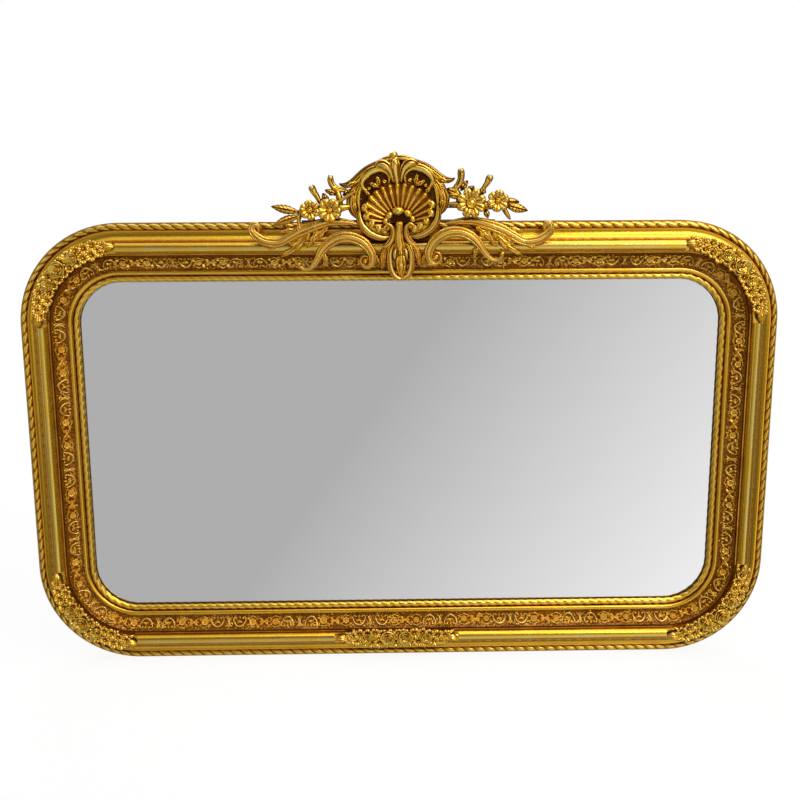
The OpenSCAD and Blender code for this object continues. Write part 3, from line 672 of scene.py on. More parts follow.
PLAIN = Carving()
# A flat web sheet behind the scrolls, darkened all over as painted shade.
WEB = Carving(edge=0.9, shade=0.4)
STEM = Carving(columns=13, edge=0.3, grooves=(-0.4,), depth=0.3)
SCROLL = Carving(columns=27, edge=0.45, grooves=(0.42,), depth=0.6, groove_wide=0.12)
LIPPED = Carving(columns=19, edge=0.4, grooves=(0.35,), depth=0.5, groove_wide=0.15)
MOULDED_SCROLL = Carving(columns=33, edge=0.5, grooves=(0.52, -0.4), depth=0.5, groove_wide=0.13, shade=-0.3)
MOULDED_LEAF = Carving(columns=31, edge=0.4, grooves=(0.5, -0.4), depth=0.5, groove_wide=0.13, lobes=4, cut=0.09,
                       vein_depth=0.12, shade=-0.3)
LEAFY = Carving(columns=21, edge=0.4, grooves=(-0.2, 0.4), depth=0.4, groove_wide=0.11, lobes=3, cut=0.14,
                vein_depth=0.15)
SHOULDER = Carving(columns=25, edge=0.4, grooves=(0.45, -0.1), depth=0.45, groove_wide=0.1, lobes=2, vein_depth=0.1)
ACANTHUS = Carving(columns=17, edge=0.3, grooves=(0.0,), depth=0.55, groove_wide=0.16, lobes=3, cut=0.3,
                   vein_depth=0.5)
VEINED_LEAF = Carving(columns=17, edge=0.35, grooves=(0.0,), depth=0.55, groove_wide=0.14, lobes=7, cut=0.14,
                      vein_depth=0.45, sweep=1.2)
PETAL = Carving(columns=17, edge=0.45, grooves=(0.0,), depth=0.5, groove_wide=0.15)
BED = Carving(columns=9, edge=0.3)
STROKE = Carving(columns=7, edge=0.25)
SMALL_LEAF = Carving(columns=7, edge=0.35, grooves=(0.0,), depth=0.35)
CROSSED_LEAF = Carving(columns=9, lobes=3, cut=0.3, vein_depth=0.3, edge=0.35, grooves=(0.0,), depth=0.35)
FINIAL = Carving(columns=23, grooves=(-0.6, 0.6), depth=0.35, groove_wide=0.1, edge=0.5)
DROP_STEM = Carving(columns=21, grooves=(-0.52, 0.52), depth=0.4, edge=0.35)
MEDALLION = Carving(columns=19, grooves=(-0.42, 0.42), depth=0.45, lobes=3, vein_depth=0.35, edge=0.3)
BUD = Carving(columns=13, edge=0.4, grooves=(-0.3, 0.3), depth=0.3)
ROSE_PETAL = Carving(columns=9, edge=0.6, grooves=(0.0,), depth=0.2, groove_wide=0.2, cup=0.5)


def smooth_curve(points: Sequence[Point], spacing: float) -> Array:
    """Draws a smooth curve through points, with a cubic piece between each two.

    Args:
        points: The points, each with its x, z, half width and, if it has one, lift.
        spacing: About how far apart the new points are.

    Returns:
        The curve's points, one in each row.
    """
    given = np.array([[*p, 0.0][:4] if len(p) == 3 else p for p in points], float)
    padded = np.vstack([given[:1], given, given[-1:]])
    parts = []
    for a, b, c, d in zip(padded, padded[1:], padded[2:], padded[3:]):
        steps = max(2, math.ceil(float(np.linalg.norm((c - b)[:2])) / spacing))
        t = np.arange(steps)[:, None] / steps
        parts.append(0.5 * (2 * b + (c - a) * t + (2 * a - 5 * b + 4 * c - d) * t ** 2
                            + (3 * b - a - 3 * c + d) * t ** 3))
    return np.vstack([*parts, given[-1:]])


@dataclass
class Patch:
    """A grid of points whose rows are closed into rings, or left open as a sheet."""

    x: Array
    z: Array
    h: Array
    tone: Array
    closed: bool = True


class Casting:
    """Collects carved forms drawn on a plane, and makes one object of them."""

    def __init__(self, name: str, place: Place, spacing: float = 1.4, side: float = 1.0) -> None:
        """Starts an empty casting.

        Args:
            name: The object's name.
            place: Turns x, z and height on the plane into points of the mirror.
            spacing: About how long its faces are.
            side: -1 where it is drawn mirrored, as a left-hand one.
        """
        self.name, self.place, self.spacing, self.side = name, place, spacing, side
        self.patches: list[Patch] = []
        self.full_height = 0.0

    def add(self, x: Array, z: Array, h: Array, tone: Array | float = 0.0, closed: bool = True) -> None:
        """Adds one grid of rings, mirrored where the casting is a left-hand one.

        Args:
            x: The points' x.
            z: Their z.
            h: Their heights.
            tone: How dark the carving itself is there, from 0 to 1, as toning and painted shade.
            closed: Whether the rows are rings, the first and last of them filled, and not an open sheet's.
        """
        tone = np.broadcast_to(tone, x.shape)
        if self.side < 0:
            x, z, h, tone = -x[:, ::-1], z[:, ::-1], h[:, ::-1], tone[:, ::-1]
        self.patches.append(Patch(x, z, h, tone, closed))

    def band(self, points: Sequence[Point], base: float, rise: float, carving: Carving = PLAIN) -> None:
        """Adds a carved band along a curve, with a flat back.

        Args:
            points: The curve's points, with half widths and lifts.
            base: The height of its back.
            rise: How far its crown stands up for its half width.
            carving: How its face is carved.
        """
        curve = smooth_curve(points, self.spacing)
        way = np.gradient(curve[:, :2], axis=0)
        way /= np.linalg.norm(way, axis=1, keepdims=True) + 1e-9
        run = np.concatenate([[0.0], np.cumsum(np.linalg.norm(np.diff(curve[:, :2], axis=0), axis=1))])
        s = (run / run[-1])[:, None]
        t = np.linspace(-1, 1, carving.columns)[None, :]
        wide = np.maximum(curve[:, 2:3], 0.3)
        reach = wide * carving.widths(s) * t
        x = curve[:, 0:1] - way[:, 1:2] * reach
        z = curve[:, 1:2] + way[:, 0:1] * reach
        face = carving.heights(s, t)
        h = base + curve[:, 3:4] + (1 + wide * rise) * face
        # The flanks down to the back take the darkest tone, as toning and painted shade.
        back, dark = np.full_like(s, base), np.ones_like(s)
        tone = carving.tones(s, t)
        self.add(np.hstack([x[:, :1], x, x[:, -1:]]), np.hstack([z[:, :1], z, z[:, -1:]]),
                 np.hstack([back, h, back]), np.hstack([dark, tone, dark]))

    def leaf(self, x: float, z: float, angle: float, length: float, width: float, base: float, rise: float = 0.5,
             carving: Carving = VEINED_LEAF, bend: float = 0.0) -> None:
        """Adds one leaf from a point outwards.

        Args:
            x: The x of its foot.
            z: The z of its foot.
            angle: Its direction in degrees from +x.
            length: Its length.
            width: Its greatest width.
            base: The height of its back.
            rise: How far its crown stands up for its half width.
            carving: How its face is carved.
            bend: How far its tip bends aside, anticlockwise.
        """
        c, s = heading(angle)
        self.band([(x + c * length * v - s * bend * v * v, z + s * length * v + c * bend * v * v, width / 2 * w)
                   for v, w in LEAF_WIDTHS], base, rise, carving)

    def leaves(self, base: float, rows: Sequence[tuple]) -> None:
        """Adds leaves, given by what leaf() takes, their bases counted from a common one."""
        for x, z, angle, length, width, up, *rest in rows:
            self.leaf(x, z, angle, length, width, base + up, *rest)

    def boss(self, x: float, z: float, r: float, base: float, height: float, sides: int = 16,
             swirl: float = 0.0) -> None:
        """Adds a low dome, such as the eye of a scroll or a flower's heart."""
        self.oval(x, z, r, r, 0.0, base, height, sides, swirl)

    def oval(self, x: float, z: float, wide: float, high: float, angle: float, base: float, height: float,
             sides: int = 20, swirl: float = 0.0, profile: Sequence[Point] = DOME) -> None:
        """Adds a low form of oval outline, domed unless another profile is given.

        Args:
            x: The x of its middle.
            z: The z of its middle.
            wide: Its half width.
            high: Its other half width.
            angle: The direction of its width in degrees from +x.
            base: The height of its foot.
            height: How far it stands up.
            sides: How many sides it has.
            swirl: How deep a spiral groove runs round it.
            profile: How far out its rings lie and how high, both from 0 to 1.
        """
        q, up = (np.array(part)[:, None] for part in zip(*profile))
        turn = -np.arange(sides)[None, :] * 2 * math.pi / sides
        groove = 1 - swirl * (0.5 + 0.5 * np.cos(turn + 9.0 * q)) * (q < 0.95)
        a, b = wide * q * np.cos(turn), high * q * np.sin(turn)
        c, s = heading(angle)
        # Darker at the foot's edge, in a sunken middle and in the swirl groove, as toning and painted shade.
        self.add(x + a * c - b * s, z + a * s + b * c, base + height * up * groove,
                 np.maximum(q ** 4, 1.4 * (0.9 - up) * (q < 0.8)) + 2 * (1 - groove))

    def blossom(self, x: float, z: float, base: float, r: float, petals: int, heart: float, turn: float = 20.0,
                depth: float = 1.0) -> None:
        """Adds an open flower of one ring of petals round a turned button.

        Args:
            x: The x of its middle.
            z: The z of its middle.
            base: The height of its back.
            r: Its radius.
            petals: How many petals it has.
            heart: The radius of its heart.
            turn: The first petal's angle.
            depth: How far its petals stand up, as a factor.
        """
        wide = r * math.tan(math.pi / petals) * 0.7
        for k in range(petals):
            c, s = heading(turn + 360.0 * k / petals)
            lap = 0.5 * (k % 2)
            self.band([(x + c * r * v, z + s * r * v, wide * w, (up + lap) * depth) for v, w, up in PETAL_SHAPE],
                      base, 0.5 * depth, PETAL)
        self.oval(x, z, heart, heart, 0.0, base, (3.4 + 0.45 * heart) * depth, profile=BUTTON)

    def rose(self, x: float, z: float, base: float, r: float, turn: float = 18.0) -> None:
        """Adds a full rose: three rings of cupped petals round a curled heart.

        Args:
            x: The x of its middle.
            z: The z of its middle.
            base: The height of its back.
            r: Its radius.
            turn: The first petal's angle.
        """
        for ring, (count, far, high) in enumerate(ROSE_RINGS):
            for k in range(count):
                c, s = heading(turn + 37 * ring + 360.0 * k / count)
                self.band([(x + c * r * far * v, z + s * r * far * v, r * far * w, r * (high + up))
                           for v, w, up in ROSE_SHAPE], base, 0.2, ROSE_PETAL)
        self.boss(x, z, 0.26 * r, base, 0.78 * r, 12, 0.25)

    def bud(self, x: float, z: float, angle: float, length: float, r: float, base: float) -> None:
        """Adds a closed bud with two sepals.

        Args:
            x: The x of its foot.
            z: The z of its foot.
            angle: Its direction in degrees from +x.
            length: Its length.
            r: Its radius.
            base: The height of its back.
        """
        self.leaf(x, z, angle, length, 2 * r, base, 1.0, BUD)
        for side in (-1, 1):
            self.leaf(x, z, angle + side * 24, length * 0.66, r, base, 0.8, PLAIN)

    def hollows(self) -> Array | None:
        """Gives how hollow each point lies, where only its height over the ground counts.

        Returns:
            Numbers from 0 to 1, or None where its toning and painted shade have to be worked out.
        """
        if not self.full_height:
            return None
        heights = np.concatenate([patch.h.reshape(-1) for patch in self.patches])
        return np.clip(0.8 - heights / self.full_height, 0.0, 1.0)

    def tones(self) -> Array:
        """Gives how dark the carving itself is at each point, as toning and painted shade."""
        return np.concatenate([patch.tone.reshape(-1) for patch in self.patches])

    def mesh(self) -> tuple[Array, list[tuple[int, ...]]]:
        """Puts the patches together.

        Returns:
            The points in millimetres and the faces.
        """
        points, faces, start = [], [], 0
        for patch in self.patches:
            rows, columns = patch.x.shape
            points.append(self.place(patch.x, patch.z, patch.h).reshape(-1, 3))
            grid = start + np.arange(rows * columns).reshape(rows, columns)
            beside = np.roll(grid, -1, axis=1)
            quads = np.stack([grid[:-1], beside[:-1], beside[1:], grid[1:]], -1)
            quads = quads if patch.closed else quads[:, :-1]
            faces.extend(map(tuple, quads.reshape(-1, 4).tolist()))
            if patch.closed:
                faces.append(tuple(grid[0, ::-1].tolist()))
                faces.append(tuple(grid[-1].tolist()))
            start += rows * columns
        return np.vstack(points), faces


@dataclass
class PatinaAndShadeMap:
    """A height map seen from the front, telling how hollow each point lies for its toning and painted shade."""

    cell: float = 1.0
    reach_x: float = 640.0
    top: float = 860.0
    margin: float = 20.0
    beyond: float = 54.0

    def __post_init__(self) -> None:
        """Fills the map with the moulding's own heights."""
        self.columns = int(2 * self.reach_x / self.cell)
        self.rows = int((self.top + self.margin) / self.cell)
        x = (np.arange(self.columns) + 0.5) * self.cell - self.reach_x
        z = (np.arange(self.rows) + 0.5) * self.cell - self.margin
        course = Course()
        over_x = np.abs(x)[None, :] - (course.half_width - course.corner_radius)
        over_z = np.abs(z - course.height / 2)[:, None] - (course.height / 2 - course.corner_radius)
        outside = (np.hypot(np.maximum(over_x, 0), np.maximum(over_z, 0))
                   + np.minimum(np.maximum(over_x, over_z), 0))
        inset = course.corner_radius - outside
        self.height = np.where(inset > 0, Section().top(inset), self.beyond)

    def cells(self, points: Array) -> tuple[Array, Array]:
        """Finds the cells that points lie in.

        Args:
            points: The points in millimetres.

        Returns:
            The cells' rows and columns.
        """
        column = np.clip((points[:, 0] + self.reach_x) / self.cell, 0, self.columns - 1).astype(int)
        row = np.clip((points[:, 2] + self.margin) / self.cell, 0, self.rows - 1).astype(int)
        return row, column

    def take(self, points: Array) -> None:
        """Raises the map to points in millimetres."""
        np.maximum.at(self.height, self.cells(points), -points[:, 1])

    def blurred(self, radius: int) -> Array:
        """Gives the map, averaged over squares three times.

        Args:
            radius: Half a square's side in cells.

        Returns:
            The averaged map.
        """
        made = self.height
        for _ in range(3):
            for axis in (0, 1):
                widths = [(radius + 1, radius) if k == axis else (0, 0) for k in (0, 1)]
                total = np.cumsum(np.pad(made, widths, mode="edge"), axis=axis)
                span = 2 * radius + 1
                ahead = np.take(total, range(span, total.shape[axis]), axis=axis)
                behind = np.take(total, range(total.shape[axis] - span), axis=axis)
                made = (ahead - behind) / span
        return made


class Workshop:
    """Makes the objects of all castings, once their toning and painted shade are known."""

    # How hollow level ground counts and what its depth and its own carving add, as toning and painted shade,
    # and how pale a high place can get, as wear and painted highlight.
    least, gain, own, most_rubbed = 0.12, 0.62, 0.66, -0.16
    # Blur in cells, share and full depth in mm of the fine hollows and of the broad ones.
    scales = ((2, 0.6, 2.6), (6, 0.4, 9.0))

    def __init__(self) -> None:
        """Starts with nothing on the bench."""
        self.patina_and_shade = PatinaAndShadeMap()
        self.waiting: list[tuple[Casting, Array, list[tuple[int, ...]], bpy.types.Material, tuple[str, ...]]] = []

    def cast(self, casting: Casting, material: bpy.types.Material, *nodes: str) -> None:
        """Puts a casting on the bench.

        Args:
            casting: The casting.
            material: Its finish.
            nodes: The CAD nodes that it stands for.
        """
        points, faces = casting.mesh()
        self.patina_and_shade.take(points)
        self.waiting.append((casting, points, faces, material, nodes))

    def finish(self) -> None:
        """Makes the objects, each point with its own hollowness."""
        maps = [(self.patina_and_shade.blurred(blur), share, full) for blur, share, full in self.scales]
        for casting, points, faces, material, nodes in self.waiting:
            cells = self.patina_and_shade.cells(points)
            # Points below the blurred heights around them are sunk, for toning and painted shade in recesses.
            sunk = sum(share * (level[cells] + points[:, 1]) / full for level, share, full in maps)
            sunk = np.maximum(sunk, self.most_rubbed)
            hollow = casting.hollows()
            if hollow is None:
                hollow = np.clip(self.least + self.gain * sunk + self.own * casting.tones(), 0.0, 1.0)
            made = make_object(casting.name, points, faces, material, hollow)
            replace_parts(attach(made, "frame"), *nodes)
            LOG.info("%s: %d faces", casting.name, len(faces))


def make_object(name: str, points: Array, faces: Sequence[tuple[int, ...]], material: bpy.types.Material,
                hollow: Array) -> bpy.types.Object:
    """Makes a smooth mesh object.

    Args:
        name: Its name.
        points: Its points in millimetres.
        faces: Its faces.
        material: Its finish.
        hollow: How hollow each point lies, 0 to 1.

    Returns:
        The new object, linked to the scene.
    """
    mesh = bpy.data.meshes.new(name)
    mesh.from_pydata((points * MM).tolist(), [], faces)
    mesh.polygons.foreach_set("use_smooth", [True] * len(mesh.polygons))
    mesh.set_sharp_from_angle(angle=SHARP_EDGE)
    mesh.attributes.new("hollow", "FLOAT", "POINT").data.foreach_set("value", hollow.astype(np.float32))
    mesh.materials.append(material)
    return add_object(name, mesh)


# --- Mouldings: rails, corners, ropes and frieze ------------------------------------------------------------------
@dataclass
class Rope:
    """A carved rope bead that runs once round the frame."""

    name: str
    node: str
    inset: float
    height: float
    radius: float
    pitch: float = 17.0
    strands: int = 2
    groove: float = 0.24
    groove_tone: float = 0.86
    sides: int = 20
    steps: int = 12

    def cast(self, shop: Workshop, material: bpy.types.Material) -> None:
        """Models the rope.

        Args:
            shop: Where it is made.
            material: Its finish.
        """
        course = Course()
        length = course.length(self.inset)
        lobes = round(length / self.pitch)
        count = lobes * self.steps
        s = (np.arange(count) / count)[:, None]
        turn = (np.arange(self.sides) / self.sides * math.tau)[None, :]
        lobe = np.abs(np.cos(math.pi * (lobes * s + self.strands * turn / math.tau)))
        radius = self.radius * (1 - self.groove * (1 - lobe ** 0.75))
        inset = self.inset - radius * np.cos(turn)
        height = self.height + radius * np.sin(turn)
        x, z = course.follow(s * length + 0 * turn, self.inset, inset)
        points = np.stack([x, -height, z], -1).reshape(-1, 3)
        grid = np.arange(count * self.sides).reshape(count, self.sides)
        beside, ahead = np.roll(grid, -1, axis=1), np.roll(grid, -1, axis=0)
        faces = np.stack([grid, ahead, np.roll(ahead, -1, axis=1), beside], -1).reshape(-1, 4)
        # Darker between strands as toning and painted shade, and on the back half as painted shade against the
        # moulding.
        hollow = (0.06 + self.groove_tone * (1 - lobe) ** 1.5 + 0.3 * np.clip(0.15 - np.sin(turn), 0, 1)).reshape(-1)
        made = make_object(self.name, points, list(map(tuple, faces.tolist())), material, np.clip(hollow, 0, 1))
        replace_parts(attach(made, "frame"), self.node)
        shop.patina_and_shade.take(points)
        LOG.info("%s: %d lobes", self.name, lobes)


@dataclass
class Frieze:
    """The cast strip of small scrolls and flowers in the hollow beside the torus."""

    unit: float = 118.0
    ground_step: float = 1.3
    stipple: float = 0.55
    specks: int = 34
    curls: int = 9
    ground_seed: int = 11
    unit_seed: int = 100
    thin: float = 0.86
    # How high over the ground the strokes start, and how far rings and edges stray.
    sunk: float = 0.3
    stray: float = 1.5
    # Where in a unit the second ring stands, then a ring's middle, its studs and the directions of its leaves.
    second_ring: float = 38.0
    ring_middle: float = 12.0
    ring_studs: tuple[float, ...] = (6.6, 17.4)
    ring_leaves: tuple[float, ...] = (50.0, 270.0, 130.0)
    # The brackets, with whether each is mirrored, the stud between them with its leaves, and the flowers' petals.
    brackets: tuple[tuple[float, bool], ...] = ((24.8, False), (37.4, True))
    stud: float = 31.1
    stud_leaves: Curve = ((-4.0, 270.0), (4.0, 90.0))
    flowers: tuple[tuple[float, int], ...] = ((71.0, 5), (109.0, 6))
    flower_leaves: tuple[float, ...] = (32.0, 148.0, 212.0, 328.0)
    cross: float = 90.0
    cross_leaves: tuple[float, ...] = (38.0, 142.0, 218.0, 322.0)
    tendrils: tuple[tuple[float, bool], ...] = ((62.0, False), (81.0, True), (99.5, False), (118.0, True))
    ring: Curve = (
        (6.5, -7.4, 0.7), (3.6, -8.2, 1.0), (1.6, -5.5, 1.2), (2.6, -0.5, 1.5), (6.4, 5.2, 1.8), (12, 7.6, 2.0),
        (17.6, 5.2, 1.8), (21.4, -0.5, 1.5), (22.4, -5.5, 1.2), (20.4, -8.2, 1.0), (17.5, -7.4, 0.7))
    bracket: Curve = (
        (0, -8.5, 0.8), (3.6, -5.8, 1.2), (5.6, -1.5, 1.5), (5.6, 1.5, 1.5), (3.6, 5.6, 1.2), (0.4, 8.2, 0.8))
    tendril: Curve = ((0, 8.8, 0.5), (4, 7.0, 1.0), (7, 8.2, 1.1), (9.6, 9.6, 0.8), (10.6, 7.2, 0.6))

    def cast(self, shop: Workshop, material: bpy.types.Material) -> None:
        """Models the strip's ground and its repeating ornament.

        Args:
            shop: Where it is made.
            material: Its finish.
        """
        course, section = Course(), Section()
        middle = (section.frieze_out[0] + section.frieze_in[0]) / 2
        length = course.length(middle)

        def place(along: Array, across: Array, height: Array) -> Array:
            """Lays the strip's plane round the frame."""
            inset, out = section.on_frieze(across, height)
            x, z = course.follow(along, middle, inset)
            return np.stack([x, -out, z], -1)

        casting = Casting("frieze_relief", place, 1.1)
        casting.full_height = 2.9
        self._ground(casting, length, section.frieze_width() / 2)
        units = round(length / self.unit)
        for k in range(units):
            self._unit(casting, k * length / units, length / units / self.unit, k)
        shop.cast(casting, material, "frieze_ornament")

    def _ground(self, casting: Casting, length: float, half: float) -> None:
        """Adds the stippled ground.

        Args:
            casting: The strip.
            length: The way round.
            half: Half the strip's width.
        """
        rows, columns = round(length / self.ground_step), round(2 * half / self.ground_step)
        spots = np.random.default_rng(self.ground_seed).uniform(-1, 1, (rows, columns)) * self.stipple
        spots[:, [0, -1]] = 0
        spots[-1] = spots[0]
        edges = [0, *range(columns), columns - 1]
        along = np.linspace(0, length, rows)[:, None] + np.zeros((1, columns + 2))
        across = np.zeros((rows, 1)) + np.linspace(-half, half, columns)[None, edges]
        spots = spots[:, edges]
        spots[:, [0, -1]] = -Section().frieze_skin
        casting.add(along, across, spots, closed=False)

    def _unit(self, casting: Casting, start: float, scale: float, number: int) -> None:
        """Adds one repeat of the ornament: rings linked by brackets, then flowers and crossed leaves.

        Args:
            casting: The strip.
            start: Where the repeat starts.
            scale: How much it is stretched along.
            number: Which repeat it is.
        """
        def shifted(points: Sequence[Point], by: float, flip: bool = False) -> list[Point]:
            """Moves a stroke along, mirrored if wanted, and thins it."""
            return [(start + scale * (by + (-p[0] if flip else p[0])), p[1] * (-1) ** number, p[2] * self.thin)
                    for p in points]

        chance = np.random.default_rng(self.unit_seed + number)
        half, up = Section().frieze_width() / 2 - 2.0, (-1) ** number
        for x, z, r, tall in zip(chance.uniform(0, self.unit, self.specks), chance.uniform(-half, half, self.specks),
                                 chance.uniform(0.8, 1.7, self.specks), chance.uniform(1.0, 2.4, self.specks)):
            casting.boss(start + scale * x, z, r, 0.0, tall, 8)
        for x, z, r, first in zip(chance.uniform(0, self.unit, self.curls), chance.uniform(-6, 6, self.curls),
                                  chance.uniform(2.2, 3.8, self.curls), chance.uniform(0, math.tau, self.curls)):
            casting.band([(start + scale * x + r * math.cos(first + 0.9 * k), z + r * math.sin(first + 0.9 * k),
                           0.6 + 0.12 * k) for k in range(5)], self.sunk, 1.0, STROKE)
        for by in (chance.uniform(-self.stray, self.stray),
                   self.second_ring + chance.uniform(-self.stray, self.stray)):
            casting.band(shifted(self.ring, by), self.sunk, 1.0, STROKE)
            for x in self.ring_studs:
                casting.boss(start + scale * (by + x), -6.6 * up, 1.8, 0.0, 2.8, 10)
            x = start + scale * (by + self.ring_middle)
            casting.leaves(self.sunk, [(x, -3.0 * up, a * up, 7.5, 3.8, 0, 0.9, SMALL_LEAF) for a in self.ring_leaves])
            casting.boss(x, 0.5, 1.7, 0.0, 2.6, 10)
        for by, flip in self.brackets:
            casting.band(shifted(self.bracket, by, flip), self.sunk, 1.0, STROKE)
        x = start + scale * self.stud
        casting.boss(x, 0.0, 2.4, 0.0, 3.2, 12)
        casting.leaves(0.0, [(x, z, a, 5.5, 4.4, 0, 0.8, SMALL_LEAF) for z, a in self.stud_leaves])
        for by, petals in self.flowers:
            x = start + scale * by
            casting.blossom(x, 0.6 * up, 0.2, 5.6 + chance.uniform(-0.6, 0.8), petals, 1.7, 15.0 * number, 0.8)
            casting.leaves(0.2, [(x + 5 * heading(a)[0], 5 * heading(a)[1], a, 7.5, 4.0, 0, 0.9, SMALL_LEAF)
                                 for a in self.flower_leaves])
        x = start + scale * self.cross
        casting.leaves(0.2, [(x, 0.0, a, 11.5, 5.4, 0, 0.9, CROSSED_LEAF) for a in self.cross_leaves])
        casting.boss(x, 0.0, 2.0, 0.0, 3.2, 10)
        casting.leaves(0.2, [(x + 2 * heading(a)[0], 0.0, a, 7.0, 3.4, 0, 0.9, SMALL_LEAF) for a in (0, 180)])
        for by, flip in self.tendrils:
            curl = shifted(self.tendril, by, flip)
            for mirrored in (1, -1):
                casting.band([(x, mirrored * z, wide) for x, z, wide in curl], self.sunk, 1.0, STROKE)


@dataclass
class Mouldings:
    """Rails, stiles and corner blocks, with the ropes and the frieze that they carry."""

    outer_rope: Rope = field(default_factory=lambda: Rope("outer_rope_strands", "outer_rope", 6.75, 23.6, 5.2))
    sight_rope: Rope = field(default_factory=lambda: Rope(
        "sight_rope_strands", "sight_rope", 86.7, 18.2, 5.0, 14.5, groove=0.18, groove_tone=0.42))
    frieze: Frieze = field(default_factory=Frieze)
    carriers: tuple[str, ...] = ("top_rail", "bottom_rail", "left_stile", "right_stile", "corner_top_left",
                                 "corner_top_right", "corner_bottom_left", "corner_bottom_right")

    def build(self, shop: Workshop, finishes: Finishes) -> None:
        """Models the ropes and the frieze, and gilds what carries them.

        Args:
            shop: Where they are made.
            finishes: The materials.
        """
        for node in self.carriers:
            dress(node, finishes.gilt_wood)
        self.outer_rope.cast(shop, finishes.gilt_rope)
        self.sight_rope.cast(shop, finishes.gilt_rope)
        self.frieze.cast(shop, finishes.toned_frieze)


def dress(node: str, material: bpy.types.Material) -> None:
    """Gives a CAD node its material.

    Args:
        node: The node's name.
        material: The material.
    """
    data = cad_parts[node].data
    if not data.materials:
        data.materials.append(material)
    for index in range(len(data.materials)):
        data.materials[index] = material
    LOG.info("%s: %s", node, material.name)


# --- Cresting -----------------------------------------------------------------------------------------------------
@dataclass(frozen=True)
class FlowerSpray:
    """What one flower spray of the cresting is made of, in the order in which it is laid."""

    stems: tuple[Curve, ...]
    hook: Curve
    bud_stem: Curve
    # The root, radius and height of each knob, what leaf() takes and what blossom() takes besides its base.
    knobs: tuple[tuple[float, ...], ...]
    leaves: tuple[tuple, ...]
    flowers: tuple[tuple[float, ...], ...]
    tendrils: tuple[Curve, ...] = ()

    def lay(self, casting: Casting, base: float, flower_base: float) -> None:
        """Models the spray.

        Args:
            casting: The empty casting.
            base: Its base.
            flower_base: How high its flowers lie.
        """
        for curve in self.stems:
            casting.band(curve, base, 1.2, STEM)
        casting.band(self.hook, base, 1.2, LIPPED)
        casting.band(self.bud_stem, base, 1.2, STEM)
        for x, z, r, tall in self.knobs:
            casting.boss(x, z, r, base, tall)
        for curve in self.tendrils:
            casting.band(curve, base + 6, 1.4, STEM)
        casting.leaves(base, self.leaves)
        for x, z, *flower in self.flowers:
            casting.blossom(x, z, flower_base, *flower)


LEFT_FLOWERS = FlowerSpray(
    stems=(((75, 24, 2.4), (91, 22, 6), (109, 20, 7), (124, 19, 6), (140, 18, 6.5), (156, 15, 5)),
           ((93, 24, 3), (95, 36, 5), (98, 46, 4), (103, 53, 4)),
           ((121, 24, 3), (126, 33, 3.6), (131, 43, 4.4)),
           ((154, 15, 3.4), (157, 6, 3.6), (158, -2, 2.4))),
    hook=((84, 48, 2.6), (93, 48.5, 4), (101, 51.5, 4.8), (106, 57, 4.8), (108, 64, 4.8), (107.5, 70, 3.4)),
    bud_stem=((129, 38, 3.4), (133, 45, 4.8), (136.5, 52, 5.2), (138, 55, 3.4)),
    knobs=((107.6, 66, 4, 9.8), (136.6, 51.5, 4.2, 10)),
    tendrils=(((70, 46, 2), (84, 38, 2.6), (92, 33, 2.4), (101, 30, 2.2), (110, 27, 2.4), (113, 22, 1.6)),),
    leaves=((155, 15, 12, 45, 14, 1, 1.0), (155, 11, -19, 43, 14, 1, 1.0), (157, 1, -86, 21, 10, 2, 1.1, ACANTHUS),
            (134, 6, -88, 18, 10, 2, 1.0), (112, 26, 66, 20, 12, 0, 1.0, ACANTHUS),
            (96, 42, 12, 22, 11, 1, 1.0, ACANTHUS, 2), (90, 40, 150, 17, 11, 0, 1.0, ACANTHUS),
            (118, 28, 84, 12, 10, 0, 1.0, ACANTHUS)),
    flowers=((110, 18, 18.5, 5, 4.6, 54), (140, 18.5, 15.5, 6, 4.8)))
RIGHT_FLOWERS = FlowerSpray(
    stems=(((70, 27, 2.4), (88, 25, 6), (106, 24, 7), (125, 24, 6.5), (145, 25, 6.5), (161, 22, 4)),
           ((86, 26, 3), (87, 38, 5), (83, 48, 4), (84, 55, 4.4)),
           ((113, 30, 3), (119, 42, 3.4), (125, 51, 3.4), (130, 58, 4.4)),
           ((152, 26, 3.4), (158, 16, 3.8), (163, 8, 3), (166, 3, 1.4))),
    hook=((74, 47, 2.4), (81, 50, 4.2), (87, 56.5, 5.2), (90, 65, 5.2), (90, 74, 5.4), (89.5, 79.5, 3.4)),
    bud_stem=((128, 54, 3), (131, 60, 4.8), (134, 66, 5.4), (135, 69.5, 3.6)),
    knobs=((90, 76, 4.2, 10.5), (134, 65.5, 4.4, 10.5)),
    leaves=((157, 25, -14, 37, 15, 1, 1.0), (154, 30, -2, 26, 13, 0, 1.0), (86, 42, 158, 20, 13, 0, 1.0, ACANTHUS),
            (90, 46, 64, 19, 11, 0, 1.0, ACANTHUS, -3), (92, 38, 176, 22, 11, 2, 1.0),
            (100, 44, 42, 14, 12, 0, 1.0, ACANTHUS), (120, 40, 60, 14, 12, 0, 1.0, ACANTHUS),
            (127, 20, -72, 16, 10, 2, 1.0), (98, 14, -70, 12, 9, 0, 1.0, ACANTHUS)),
    flowers=((105.5, 28, 23, 8, 8), (146, 31, 17, 6, 4.4)))


